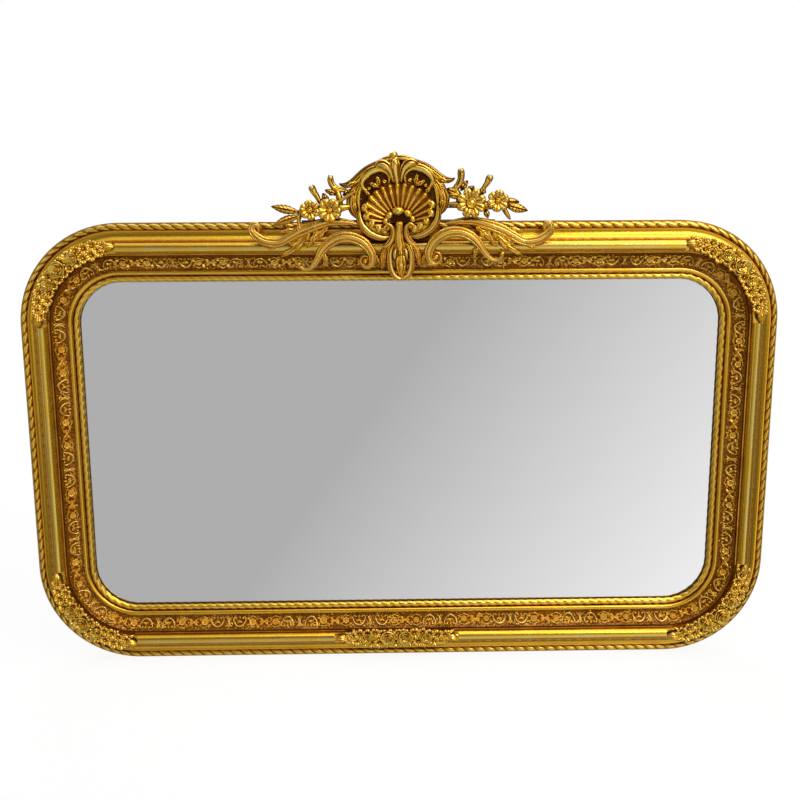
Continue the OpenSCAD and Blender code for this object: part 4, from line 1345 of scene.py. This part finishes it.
@dataclass
class Cresting:
    """The pierced cresting: shell, scrolls, leaves and flower sprays on the top rail."""

    axis_x: float = -5.0
    frame_top: float = 720.0
    lean: float = 2.5
    base: float = 48.0
    hinge_z: float = 15.0
    flower_base: float = 55.0
    fan_z: float = -3.0
    rim_up: float = 25.0
    shell_span: float = 236.0
    shell_in: float = 14.5
    shell_wide: float = 53.0
    shell_high: float = 38.5
    shell_ribs: int = 21
    shell_rows: int = 44
    rib_columns: int = 14
    rim_lobes: tuple[float, ...] = (62.0, 74.0, 86.0, 98.0, 110.0)
    crescent: Curve = (
        (59.5, 24, 3), (60.5, 12, 4.8), (57.5, -0.5, 5.8), (49.5, -11.5, 6), (39, -18.8, 5.8), (28, -22.4, 4.8),
        (20, -22.6, 3.4), (14, -20, 2))
    link: Curve = ((53.5, 60, 3), (58, 50, 4), (60.5, 40, 4.6), (61, 31, 4.4), (59.5, 20, 3))
    upper_scroll: Curve = (
        (20, 62.6, 3), (24, 60, 2.4), (21, 56, 2.7), (15.4, 56.6, 3.1), (11.4, 62.4, 3.6), (11.8, 70.6, 4.4),
        (17.4, 77.6, 5.4), (26, 80.6, 6.4), (35, 79.4, 7), (44, 75, 7), (51, 68, 6.4), (54.4, 60, 5.4), (52, 52.4, 4.2),
        (46.5, 49.4, 3), (42, 51.5, 2.4))
    upper_leaf: Curve = (
        (14, 91.5, 2.4), (24, 88.8, 4.6), (35, 84.8, 5.6), (46, 79, 6), (56, 71.4, 6.2), (65, 64, 6), (74, 59.4, 5),
        (82, 59, 3.4), (88, 61.5, 1))
    side_leaf: Curve = ((57, 62, 4.5), (64, 52, 7), (69, 40, 8.6), (71, 28, 7.8), (68, 17, 5.4), (63, 9, 2.4))
    web: Curve = ((4, 71, 5), (16, 74, 6.5), (30, 75, 7), (42, 68, 7), (50, 54, 6), (56, 38, 5.5))
    low_web: Curve = ((57, 26, 4), (53, 6, 6.5), (43, -8, 7), (29, -15, 7), (14, -17, 6))
    stem: Curve = (
        (0, 1.5, 4), (0, -2.5, 6.6), (-0.6, -10, 7.2), (-1.2, -20, 7.8), (-1, -30, 8.4), (0, -38, 9), (0, -45, 6))
    stem_scroll: Curve = (
        (21, -11.5, 2, 9), (21.6, -6.6, 2.4, 9), (16.6, -3, 2.8, 9), (11.4, -7, 3.2, 8), (10.2, -15, 3.8, 5),
        (12, -24, 4.4, 3), (17, -31.5, 4.8, 1), (23.5, -35.5, 3.8, 0), (29, -35, 1.2, 0))
    medallion: Curve = ((0, -38, 3), (0, -46, 6), (0, -56, 8.2), (0, -68, 8.4), (0, -78, 5.6), (0, -86, 1))
    medallion_rim: Curve = (
        (6, -30, 2.4), (12, -36, 3.6), (16.4, -47, 4.4), (17, -61, 4.6), (15.2, -73, 4.8), (10, -82.5, 4.4),
        (2.6, -87.6, 3.4))
    palm_leaf: Curve = ((11, -32, 2.6), (20, -37, 4.2), (26, -47, 5), (27, -58, 4.4), (31, -70, 0.8))
    finial: Curve = (
        (-3.5, 97, 5), (-3.2, 92, 7.5), (-2.8, 86, 8.6), (-2.4, 80, 7.6), (-1.8, 73, 6), (-1, 66, 4.8), (-0.4, 60, 4.2),
        (0, 54, 2))
    crown_curls: tuple[Curve, ...] = (
        ((5.4, 60, 2), (7, 69, 4), (9.6, 77.5, 6), (14.5, 84, 7.6), (21, 87.5, 7.6), (27.5, 86.5, 6), (32, 82, 2.6)),
        ((2, 95.5, 3.4), (9, 95.2, 4.4), (17, 94, 4), (25, 91.6, 1.8)))
    rail_scroll: Curve = (
        (54, -56, 3), (50.6, -53.8, 1.8), (53.5, -49.4, 1.9), (59, -50.8, 2.1), (61.5, -57, 2.6), (58, -63.6, 3.2),
        (50.5, -65.4, 4), (44.6, -59, 5.4), (44, -47, 7), (54, -30.5, 8.4), (72, -20.5, 8.8), (92, -19.5, 8.8),
        (109, -27, 8.2), (121, -39, 6.8), (129, -52, 5), (138, -62, 3.6), (147, -65.5, 2.8), (155, -61, 2.6),
        (157, -54, 3))
    tail: Curve = (
        (67, -3, 2), (84, 0, 4.8), (108, 1, 6.8), (134, -5, 8.8), (155, -13, 9), (172, -22, 8), (186, -29.5, 7.4),
        (199, -30.5, 7.8), (212, -27.5, 8), (223, -20.5, 7), (229.4, -11.5, 5.6), (227.6, -3.8, 4.8),
        (221.8, -3.4, 4.2), (219, -8.5, 3.6), (218.8, -14, 2.4))
    tail_leaves: tuple[Curve, ...] = (
        ((139, -9, 4), (149, -24, 6.4), (161, -36, 6.6), (174, -45, 4.6), (186, -52, 0.8)),
        ((130, -9, 3), (134, -20, 4.6), (139, -30, 4.4), (146, -39, 0.8)),
        ((146, -14, 4), (156, -22, 5), (165, -30, 4.4), (174, -37, 0.8)))

    def leaning(self, x: Array, z: Array, h: Array) -> Array:
        """Places the cresting's middle, which leans about the shell's hinge.

        Args:
            x: Distances from its axis.
            z: Heights over the frame's top.
            h: Distances in front of the frame's back.

        Returns:
            The points.
        """
        a = math.radians(self.lean)
        over = z - self.hinge_z
        return np.stack([self.axis_x + x * math.cos(a) - over * math.sin(a), -h,
                         self.frame_top + self.hinge_z + x * math.sin(a) + over * math.cos(a)], -1)

    def upright(self, x: Array, z: Array, h: Array) -> Array:
        """Places the cresting's sides, which are fixed evenly about mid-width."""
        return np.stack([x, -h, self.frame_top + z], -1)

    def build(self, shop: Workshop, finishes: Finishes) -> None:
        """Models every casting of the cresting.

        Args:
            shop: Where they are made.
            finishes: The materials.
        """
        gilt = finishes.gilt_casting
        shop.cast(self._shell(), gilt, "shell")
        shop.cast(self._crown(), gilt, "crown_leaf")
        shop.cast(self._drop(), gilt, "drop_leaf")
        sides = ((-1.0, "left", LEFT_FLOWERS), (1.0, "right", RIGHT_FLOWERS))
        for side, word, _ in sides:
            for kind, place, model in (("cartouche_scroll", self.leaning, self._cartouche),
                                       ("rail_scroll", self.leaning, self._rail_scroll),
                                       ("tail_leaf", self.upright, self._tail)):
                casting = Casting(f"{kind}_{word}_relief", place, side=side)
                model(casting)
                shop.cast(casting, gilt, f"{kind}_{word}")
        for side, word, flowers in sides:
            casting = Casting(f"flower_spray_{word}_relief", self.upright, side=side)
            flowers.lay(casting, self.base, self.flower_base)
            shop.cast(casting, gilt, f"flower_spray_{word}")

    def _shell(self) -> Casting:
        """Models the shell: narrow ribs that spread from under the hood to a scalloped, curled rim.

        Returns:
            The casting.
        """
        casting = Casting("shell_relief", self.leaning)
        columns = self.rib_columns * self.shell_ribs + 1
        turn = (np.arange(columns) / (columns - 1) - 0.5)[None, :] * math.radians(self.shell_span)
        phase = math.pi * self.shell_ribs * (turn / math.radians(self.shell_span) + 0.5)
        v = np.linspace(0, 1, self.shell_rows)[:, None]
        ridge = np.abs(np.sin(phase)) ** (1.1 + 1.1 * v)
        vein = np.abs(np.cos(phase)) ** 12
        rim = self._rim(turn)
        r = self.shell_in + v * (rim - self.shell_in) + 2.0 * (ridge ** 0.4 - 1) * np.clip((v - 0.8) * 5, 0, 1)
        lip = np.exp(-((v - 0.9) / 0.07) ** 2)
        curl = np.clip((v - 0.9) / 0.1, 0, 1)
        # Painted shadow that the scrolls cast over the top of the shell's rim.
        shade = np.clip((v - 0.66) / 0.3, 0, 1) * np.clip(1.5 * np.cos(turn) - 0.1, 0, 1)
        dish = 3.0 + 4.0 * v ** 1.6 - 5.5 * curl ** 2
        uneven = 1 + 0.16 * np.sin(5.3 * np.floor(phase / math.pi))
        face = uneven * (1.2 + 4.2 * np.minimum(1, 1.6 * v)) * (ridge + 0.2 * vein * (1 - lip)) * (1 - 0.55 * shade)
        face = face + 3.4 * lip * ridge ** 0.5 * (1 - shade)
        x, z, h = -r * np.sin(turn), self.fan_z + r * np.cos(turn), self.base + dish + face
        # Valleys between ribs and the curled rim are darker, as toning and painted shade, and the painted shadow adds
        # more.
        tone = np.clip(0.85 - 1.6 * ridge - 0.3 * vein, 0, 1) * (1 - 0.3 * lip) + 0.45 * curl ** 3 + 0.75 * shade
        edged = [np.hstack([row[:, :1], row, row[:, -1:]]) for row in (x, z, h, tone)]
        edged[2][:, [0, -1]] = self.base
        grid = [np.vstack([row, row[-1:]])[:, ::-1] for row in edged]
        grid[2][-1] = self.base
        casting.add(*grid, closed=False)
        for degrees in self.rim_lobes:
            for side in (-1, 1):
                at = math.radians(side * degrees)
                r = float(self._rim(np.array(at))) - 2.2
                casting.oval(-r * math.sin(at), self.fan_z + r * math.cos(at), 7.4, 6.0, degrees * side, self.base, 9.6)
        return casting

    def _rim(self, turn: Array) -> Array:
        """Gives the shell's reach from under its hood to its oval rim.

        Args:
            turn: Directions, in radians to the left from upright.

        Returns:
            The distances.
        """
        c, e = np.cos(turn), self.rim_up / self.shell_high
        q = (c / self.shell_high) ** 2 + (np.sin(turn) / self.shell_wide) ** 2
        b = e * c / self.shell_high
        return (b + np.sqrt(b * b - q * (e * e - 1))) / q

    def _crown(self) -> Casting:
        """Models the leaf finial: a knob over a broad middle leaf, between two leaves that curl outwards.

        Returns:
            The casting.
        """
        casting = Casting("crown_leaf_relief", self.leaning, 1.0)
        casting.oval(0, 88, 30, 8, 0, self.base, 2.5, profile=PLATE)
        casting.band(self.finial, self.base + 3, 1.25, FINIAL)
        casting.oval(-3.5, 94.5, 9, 4.2, 0, self.base, 13)
        casting.oval(-3.6, 99.8, 6.4, 6, 0, self.base, 16)
        for side in (-1.0, 1.0):
            casting.side = side
            for curve in self.crown_curls:
                casting.band(curve, self.base + 3.5, 1.1, LIPPED)
        return casting

    def _cartouche(self, casting: Casting) -> None:
        """Models one side of the cartouche: crescent, link, C-scroll, side leaf and shoulder leaf.

        Args:
            casting: The empty casting.
        """
        # The web and low web are flat sheets of painted shade behind the scrolls.
        for curve, rise, carving in ((self.web, 0.06, WEB), (self.low_web, 0.06, WEB), (self.link, 1.0, SCROLL),
                                     (self.crescent, 1.0, SCROLL), (self.side_leaf, 0.8, LEAFY),
                                     (self.upper_leaf, 0.75, SHOULDER), (self.upper_scroll, 1.05, SCROLL)):
            casting.band(curve, self.base, rise, carving)
        casting.boss(19.6, 61.2, 4.2, self.base, 10, 16, 0.2)
        casting.leaves(self.base, ((31, 70, -112, 17, 10, 4, 1.1, ACANTHUS, 3),
                                   (42, 60.5, -146, 17, 9, 5, 1.1, ACANTHUS, -3),
                                   (50, 50, -128, 13, 8, 4, 1.1, ACANTHUS, -2)))
        casting.boss(43, 52.5, 3.4, self.base, 7.5, 16, 0.2)
        casting.leaves(self.base, [(x, z, angle, long, 9.5, 3, 1.0, ACANTHUS, -4) for x, z, angle, long in (
            (61, 63, -14, 19), (62, 56, -44, 18), (64, 46, -66, 17), (66, 34, -80, 15))])

    def _drop(self) -> Casting:
        """Models the shell's hood and the stem that drops from it into a palmette.

        Returns:
            The casting.
        """
        casting = Casting("drop_leaf_relief", self.leaning, 1.2)
        for x, z, wide, high, angle in ((-20.5, 2.5, 6, 5, 75), (20.5, 3.5, 6, 5, -75), (-14.5, 10.5, 7.4, 6, 50),
                                        (13.8, 12, 7.4, 6, -45), (-0.8, 16.6, 9.8, 7.4, 0)):
            casting.oval(x, z, wide, high, angle, self.base, 8.4 + 0.9 * wide)
        casting.band(self.stem, self.base, 0.9, DROP_STEM)
        casting.band(self.medallion, self.base, 0.7, MEDALLION)
        for side in (-1.0, 1.0):
            casting.side = side
            casting.band(self.palm_leaf, self.base, 1.0, LEAFY)
            casting.band(self.medallion_rim, self.base, 1.15, LIPPED)
            casting.band(self.stem_scroll, self.base, 1.15, LIPPED)
            casting.boss(17.2, -9, 3.4, self.base, 15.5, 16, 0.2)
            casting.leaf(7, -40, -72, 17, 6, self.base + 3, 0.9, PLAIN, bend=-3)
        casting.side = 1.0
        casting.leaves(self.base, ((0, -41, 270, 12, 7.5, 4, 1.0), (0, -58, 270, 20, 8, 3.5, 0.9)))
        return casting

    def _rail_scroll(self, casting: Casting) -> None:
        """Models one of the big C-scrolls that lie on the rail.

        Args:
            casting: The empty casting.
        """
        casting.band(self.rail_scroll, self.base, 0.95, MOULDED_SCROLL)
        casting.boss(55, -56, 4, self.base, 9, 18, 0.2)
        casting.boss(156.5, -56, 3.6, self.base, 6.5, 14, 0.2)
        casting.leaves(self.base, [(*leaf, 0, 0.9, ACANTHUS, -4) for leaf in (
            (38, -47, -100, 16, 6), (118, -38, -96, 24, 10), (126, -44, -62, 18, 8))])

    def _tail(self, casting: Casting) -> None:
        """Models one of the leaf tails that run out along the rail and curl up at the end.

        Args:
            casting: The empty casting.
        """
        for curve in self.tail_leaves:
            casting.band(curve, self.base, 0.8, ACANTHUS)
        casting.band(self.tail, self.base, 0.8, MOULDED_LEAF)
        casting.leaves(self.base, ((112, -4, -52, 36, 13, 0, 0.8, ACANTHUS, 7),
                                   (160, -12, 8, 26, 10, 0, 0.8, ACANTHUS, -8),
                                   (190, -36, -16, 20, 8, 1, 0.8, ACANTHUS, 5)))


# --- Sprays on the torus ------------------------------------------------------------------------------------------
@dataclass(frozen=True)
class Spray:
    """What one spray is made of."""

    node: str
    seed: int
    # How far along its half length each point of the bed lies, and its share of the full width.
    bed: tuple[tuple[float, float], ...] = ((-1, 0.15), (-0.75, 0.65), (-0.5, 1), (0, 1), (0.5, 1), (0.75, 0.65),
                                            (1, 0.15))
    bare_end: float = 14.0
    leaf_in: float = 24.0
    # The place, radius and turn of each rose, then the height, length and radius of the end buds.
    roses: tuple[tuple[float, ...], ...] = ((0, 3, 12.5, 18), (-27, 1.5, 9, -9), (27, 1.5, 9, 45))
    outer_roses: tuple[tuple[float, ...], ...] = ()
    bud: tuple[float, float, float] = (0.5, 22, 7.2)


@dataclass
class Sprays:
    """The cast sprays of roses, small flowers and leaves on the corners and at the middle of the bottom rail."""

    # The corners in their order along the frame's outline, and the seed of the first one's small differences.
    corners: tuple[str, ...] = ("bottom_right", "top_right", "top_left", "bottom_left")
    corner_seed: int = 20
    bed_half: float = 6.5
    bed_rise: float = 0.6
    outward: float = 2.5
    end: float = 1.6
    bottom_x: float = -11.0
    bottom_long: float = 206.0
    # How far apart the small flowers stand, how far from the middle, how large they are and how far the leaves turn.
    pitch: float = 6.6
    spread: float = 7.8
    flower: float = 8.8
    least_turn: float = 18.0
    most_turn: float = 42.0
    # How high over the base roses and buds lie, how far from the end the buds start, and how two leaves spread there.
    rose_up: float = 5.0
    bud_up: float = 2.0
    bud_in: float = 20.0
    fork: float = 24.0
    bottom: Spray = Spray(
        "bottom_spray", 31, bed=((-1, 0.15), (-0.85, 1), (0.85, 1), (1, 0.15)), bare_end=18, leaf_in=25,
        roses=((-15, -1, 12, 3), (15, -1, 12, 33)), outer_roses=((50, 0, 8.5, 30),), bud=(0, 21, 6.6))

    def build(self, shop: Workshop, finishes: Finishes) -> None:
        """Models the five sprays.

        Args:
            shop: Where they are made.
            finishes: The materials.
        """
        course, section = Course(), Section()
        sides = course.sides(section.torus_u)
        half_arc = float(sides[1]) / 2
        for k, word in enumerate(self.corners):
            plan = Spray(f"corner_spray_{word}", self.corner_seed + k)
            middle = float(sides[:2 * k + 1].sum()) + half_arc
            casting = self._spray(plan, self._over_torus(middle, self.outward), half_arc - self.end)
            shop.cast(casting, finishes.gilt_casting, plan.node)
        start = float(course.half_width - course.corner_radius + self.bottom_x)
        casting = self._spray(self.bottom, self._over_torus(start), self.bottom_long / 2 - self.end)
        shop.cast(casting, finishes.gilt_casting, self.bottom.node)

    def _over_torus(self, middle: float, outward: float = 0.0) -> Place:
        """Makes the placing of a spray's plane.

        Args:
            middle: Where on the torus's way round the spray's middle lies.
            outward: How far outwards of the torus's crest its own axis lies.

        Returns:
            The placing: x runs along the torus and z outwards from it.
        """
        course, section = Course(), Section()

        def place(x: Array, z: Array, h: Array) -> Array:
            """Lays a spray's plane on the torus."""
            along, up = course.follow(middle + x, section.torus_u, section.torus_u - outward - z)
            return np.stack([along, -h, up], -1)

        return place

    def _filling(self, casting: Casting, half: float, seed: int) -> None:
        """Fills a spray with small flowers and leaf tips to both sides of its bed.

        Args:
            casting: The spray.
            half: Half its length.
            seed: The seed of its small differences.
        """
        base = Section().spray_h
        chance = np.random.default_rng(seed)
        count = round(half / self.pitch)
        for row, side in enumerate((1, -1)):
            for k in range(count):
                x = half * (2 * (k + 0.5 * row + 0.25) / count - 1) + chance.uniform(-1.2, 1.2)
                near = max(0.35, 1 - (x / half) ** 6)
                z = side * (self.spread * near + chance.uniform(-1.4, 1.0))
                turn = chance.uniform(self.least_turn, self.most_turn)
                away = side * turn if x > 0 else 180 - side * turn
                casting.leaf(x, z * 0.7, away, 15, 8, base, 0.95, ACANTHUS if k % 2 else VEINED_LEAF,
                             bend=chance.uniform(-2, 2))
                casting.blossom(x, z, base + 2.6, self.flower + chance.uniform(-1.2, 1.4), 5 if k % 3 else 6,
                                2.2, chance.uniform(0, 70), 0.9)

    def _spray(self, plan: Spray, place: Place, half: float) -> Casting:
        """Models one spray.

        Args:
            plan: What it is made of.
            place: The placing.
            half: Half its length.

        Returns:
            The casting.
        """
        base = Section().spray_h
        casting = Casting(f"{plan.node}_relief", place, 1.2)
        casting.band([(half * v, 0, self.bed_half * w) for v, w in plan.bed], base, self.bed_rise, BED)
        self._filling(casting, half - plan.bare_end, plan.seed)
        for x, z, r, turn in plan.roses:
            casting.rose(x, z, base + self.rose_up, r, turn)
        for out in (-1, 1):
            for x, z, r, turn in plan.outer_roses:
                casting.rose(out * x, z, base + self.rose_up, r, turn + out)
            z, length, r = plan.bud
            casting.bud(out * (half - self.bud_in), z, 90 - out * 90, length, r, base + self.bud_up)
            casting.leaves(base, [(out * (half - plan.leaf_in), 3 * side, 90 - out * (90 - side * out * self.fork),
                                   21, 9, 0, 0.9, ACANTHUS) for side in (-1, 1)])
        return casting


# --- Glass, back and hardware -------------------------------------------------------------------------------------
@dataclass
class Backing:
    """Glass, backboard, block, batten, wires and hardware: CAD pieces whose own shape is right."""

    mirror: tuple[str, ...] = ("glass",)
    board: tuple[str, ...] = ("backboard",)
    wood: tuple[str, ...] = ("joint_dowels", "crest_batten")
    shade_darkened: tuple[str, ...] = ("crest_block",)
    zinc: tuple[str, ...] = ("glazing_points", "hanger_screws", "crest_screws")
    iron: tuple[str, ...] = ("armature_wires",)
    nickel: tuple[str, ...] = ("hanger_strap_left", "hanger_strap_right", "hanger_ring_left", "hanger_ring_right")

    def build(self, finishes: Finishes) -> None:
        """Gives each piece its finish.

        Args:
            finishes: The materials.
        """
        for nodes, material in ((self.mirror, finishes.mirror), (self.board, finishes.hardboard),
                                (self.wood, finishes.bare_wood), (self.shade_darkened, finishes.brown_block),
                                (self.zinc, finishes.zinc), (self.iron, finishes.iron),
                                (self.nickel, finishes.nickel)):
            for node in nodes:
                dress(node, material)


# --- Studio -------------------------------------------------------------------------------------------------------
@dataclass(frozen=True)
class Softbox:
    """One soft lamp of the studio."""

    name: str
    place: Colour
    aim: Colour
    size: tuple[float, float]
    power: float
    tint: Colour = (1.0, 0.98, 0.95)

    def switch_on(self) -> None:
        """Adds the lamp to the scene."""
        lamp = bpy.data.lights.new(self.name, "AREA")
        lamp.shape = "RECTANGLE"
        lamp.size, lamp.size_y = self.size
        lamp.energy = self.power
        lamp.color = self.tint
        made = add_object(self.name, lamp)
        made.location = self.place
        made.rotation_euler = (Vector(self.aim) - Vector(self.place)).to_track_quat("-Z", "Y").to_euler()


@dataclass(frozen=True)
class Window:
    """A bright field with soft edges in front of the mirror, bounded by slopes seen from there."""

    left: float
    right: float
    low: float
    high: float
    soft: float
    strength: float = 1.0

    def light(self, across: Wire, above: Wire) -> Wire:
        """Gives its strength inside the field and 0 outside."""
        return (across.step(self.left - self.soft, self.left) * across.step(self.right + self.soft, self.right)
                * above.step(self.low - self.soft, self.low) * above.step(self.high + self.soft, self.high)
                * self.strength)


@dataclass
class Studio:
    """The camera, the soft lamps, the pale floor and the surroundings that gilding and glass show."""

    eye: Colour = (-0.03780, -1.64603, 0.76437)
    lens: float = 46.33
    pitch: float = 0.1990
    yaw: float = 0.0211
    roll: float = 0.0044
    lamps: tuple[Softbox, ...] = (
        Softbox("key_softbox", (1.5, -1.9, 2.3), (0.1, 0.0, 0.5), (1.5, 1.0), 24.0),
        Softbox("top_softbox", (0.5, -0.5, 2.4), (0.0, 0.0, 0.6), (2.2, 0.6), 9.0),
        Softbox("fill_softbox", (-2.2, -1.8, 1.2), (0.0, 0.0, 0.4), (1.2, 1.2), 4.0),
        Softbox("rear_softbox", (-0.6, 2.6, 2.2), (0.0, 0.0, 0.4), (2.0, 1.4), 25.0))

    # The wall that the glass shows: its grey at the left, how much brighter it gets, and the room beside it.
    wall: Window = Window(-0.42, 0.5, -0.75, 0.12, 0.14)
    wall_grey: float = 0.455
    wall_gain: float = 0.98
    room: float = 0.13
    windows: tuple[Window, ...] = (Window(0.55, 1.9, 0.1, 1.5, 0.2, 1.1), Window(-2.6, -1.1, -0.3, 0.9, 0.3, 0.5),
                                   Window(-1.2, 1.6, -2.2, -1.1, 0.3, 0.5))
    rear: float = 0.3
    scattered: float = 0.32
    # How much of the floor's white shines by itself for the camera, how bright it is and what it gains far off.
    floor_glow: float = 0.82
    floor_white: float = 1.1
    floor_far: float = 0.12

    def build(self) -> None:
        """Sets the studio up."""
        self._camera()
        self._surroundings()
        self._floor()
        for lamp in self.lamps:
            lamp.switch_on()
        bpy.context.scene.view_settings.view_transform = "Standard"

    def _camera(self) -> None:
        """Places the camera as the photograph was taken."""
        sp, cp = math.sin(self.pitch), math.cos(self.pitch)
        sy, cy = math.sin(self.yaw), math.cos(self.yaw)
        sr, cr = math.sin(self.roll), math.cos(self.roll)
        right = (cr * cy - sr * sp * sy, -cr * sy - sr * sp * cy, -sr * cp)
        up = (sr * cy + cr * sp * sy, -sr * sy + cr * sp * cy, cr * cp)
        back = (-cp * sy, -cp * cy, sp)
        data = bpy.data.cameras.new("camera")
        data.sensor_width = 36.0
        data.lens = self.lens
        camera = add_object("camera", data)
        rows = [(*axes, at) for *axes, at in zip(right, up, back, self.eye)]
        camera.matrix_world = Matrix((*rows, (0.0, 0.0, 0.0, 1.0)))
        bpy.context.scene.camera = camera

    def _surroundings(self) -> None:
        """Makes the world: white behind the mirror, a graded grey studio in front of it."""
        world = bpy.data.worlds.new("studio")
        bpy.context.scene.world = world
        tree = Tree(world)
        x, y, z = tree.split(tree.make("ShaderNodeTexCoord", output="Generated"))
        ahead = (y * -1.0).at_least(0.05)
        across, above = x / ahead, z / ahead
        slope = across - (above + 0.2) * 0.7
        graded = self.wall_grey + slope.at_least(0.0).at_most(1.2) * self.wall_gain
        wall = self.wall.light(across, above)
        top = z.step(0.72, 0.86) * (0.55 + x.step(-0.5, 0.5) * 0.5)
        front = graded * wall + (1.0 - wall) * self.room
        for window in self.windows:
            front = front + window.light(across, above)
        behind = y.step(-0.12, 0.1)
        seen = front * (1.0 - behind) + behind * self.rear + top
        camera_ray = tree.make("ShaderNodeLightPath")
        glossy_ray = tree.make("ShaderNodeLightPath", output="Is Glossy Ray")
        plain = camera_ray + (1.0 - camera_ray) * (glossy_ray * seen + (1.0 - glossy_ray) * self.scattered)
        tree.end(tree.make("ShaderNodeBackground", None, {"Color": (1.0, 1.0, 1.0, 1.0), "Strength": plain}),
                 "ShaderNodeOutputWorld")

    def _floor(self) -> None:
        """Lays the pale floor, white to the camera and kept out of reflections, which show the studio instead."""
        mesh = bpy.data.meshes.new("floor")
        mesh.from_pydata([(-30, -12, 0), (30, -12, 0), (30, 60, 0), (-30, 60, 0)], [], [(0, 1, 2, 3)])
        made = add_object("floor", mesh)
        material = bpy.data.materials.new("pale_floor")
        tree = Tree(material)
        camera_ray = tree.make("ShaderNodeLightPath")
        speck = tree.noise(tree.place(), 40.0)
        paint = tree.make("ShaderNodeBsdfDiffuse", None,
                          {"Color": tree.mix(speck, (0.82, 0.82, 0.82), (0.86, 0.86, 0.86))})
        _, far, _ = tree.split(tree.place())
        white = tree.make("ShaderNodeEmission", None, {
            "Color": (1.0, 1.0, 1.0, 1.0), "Strength": self.floor_white + abs(far).step(0.5, 6.0) * self.floor_far})
        tree.end(tree.make("ShaderNodeMixShader", None, {0: camera_ray * self.floor_glow, 1: paint, 2: white}))
        mesh.materials.append(material)
        made.visible_glossy = False


def main() -> None:
    """Builds the studio and dresses every piece."""
    logging.basicConfig(level=logging.INFO, format="%(name)s: %(message)s")
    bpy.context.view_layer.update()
    Studio().build()
    finishes, shop = Finishes(), Workshop()
    Mouldings().build(shop, finishes)
    Cresting().build(shop, finishes)
    Sprays().build(shop, finishes)
    shop.finish()
    Backing().build(finishes)


if __name__ == "__main__":
    main()
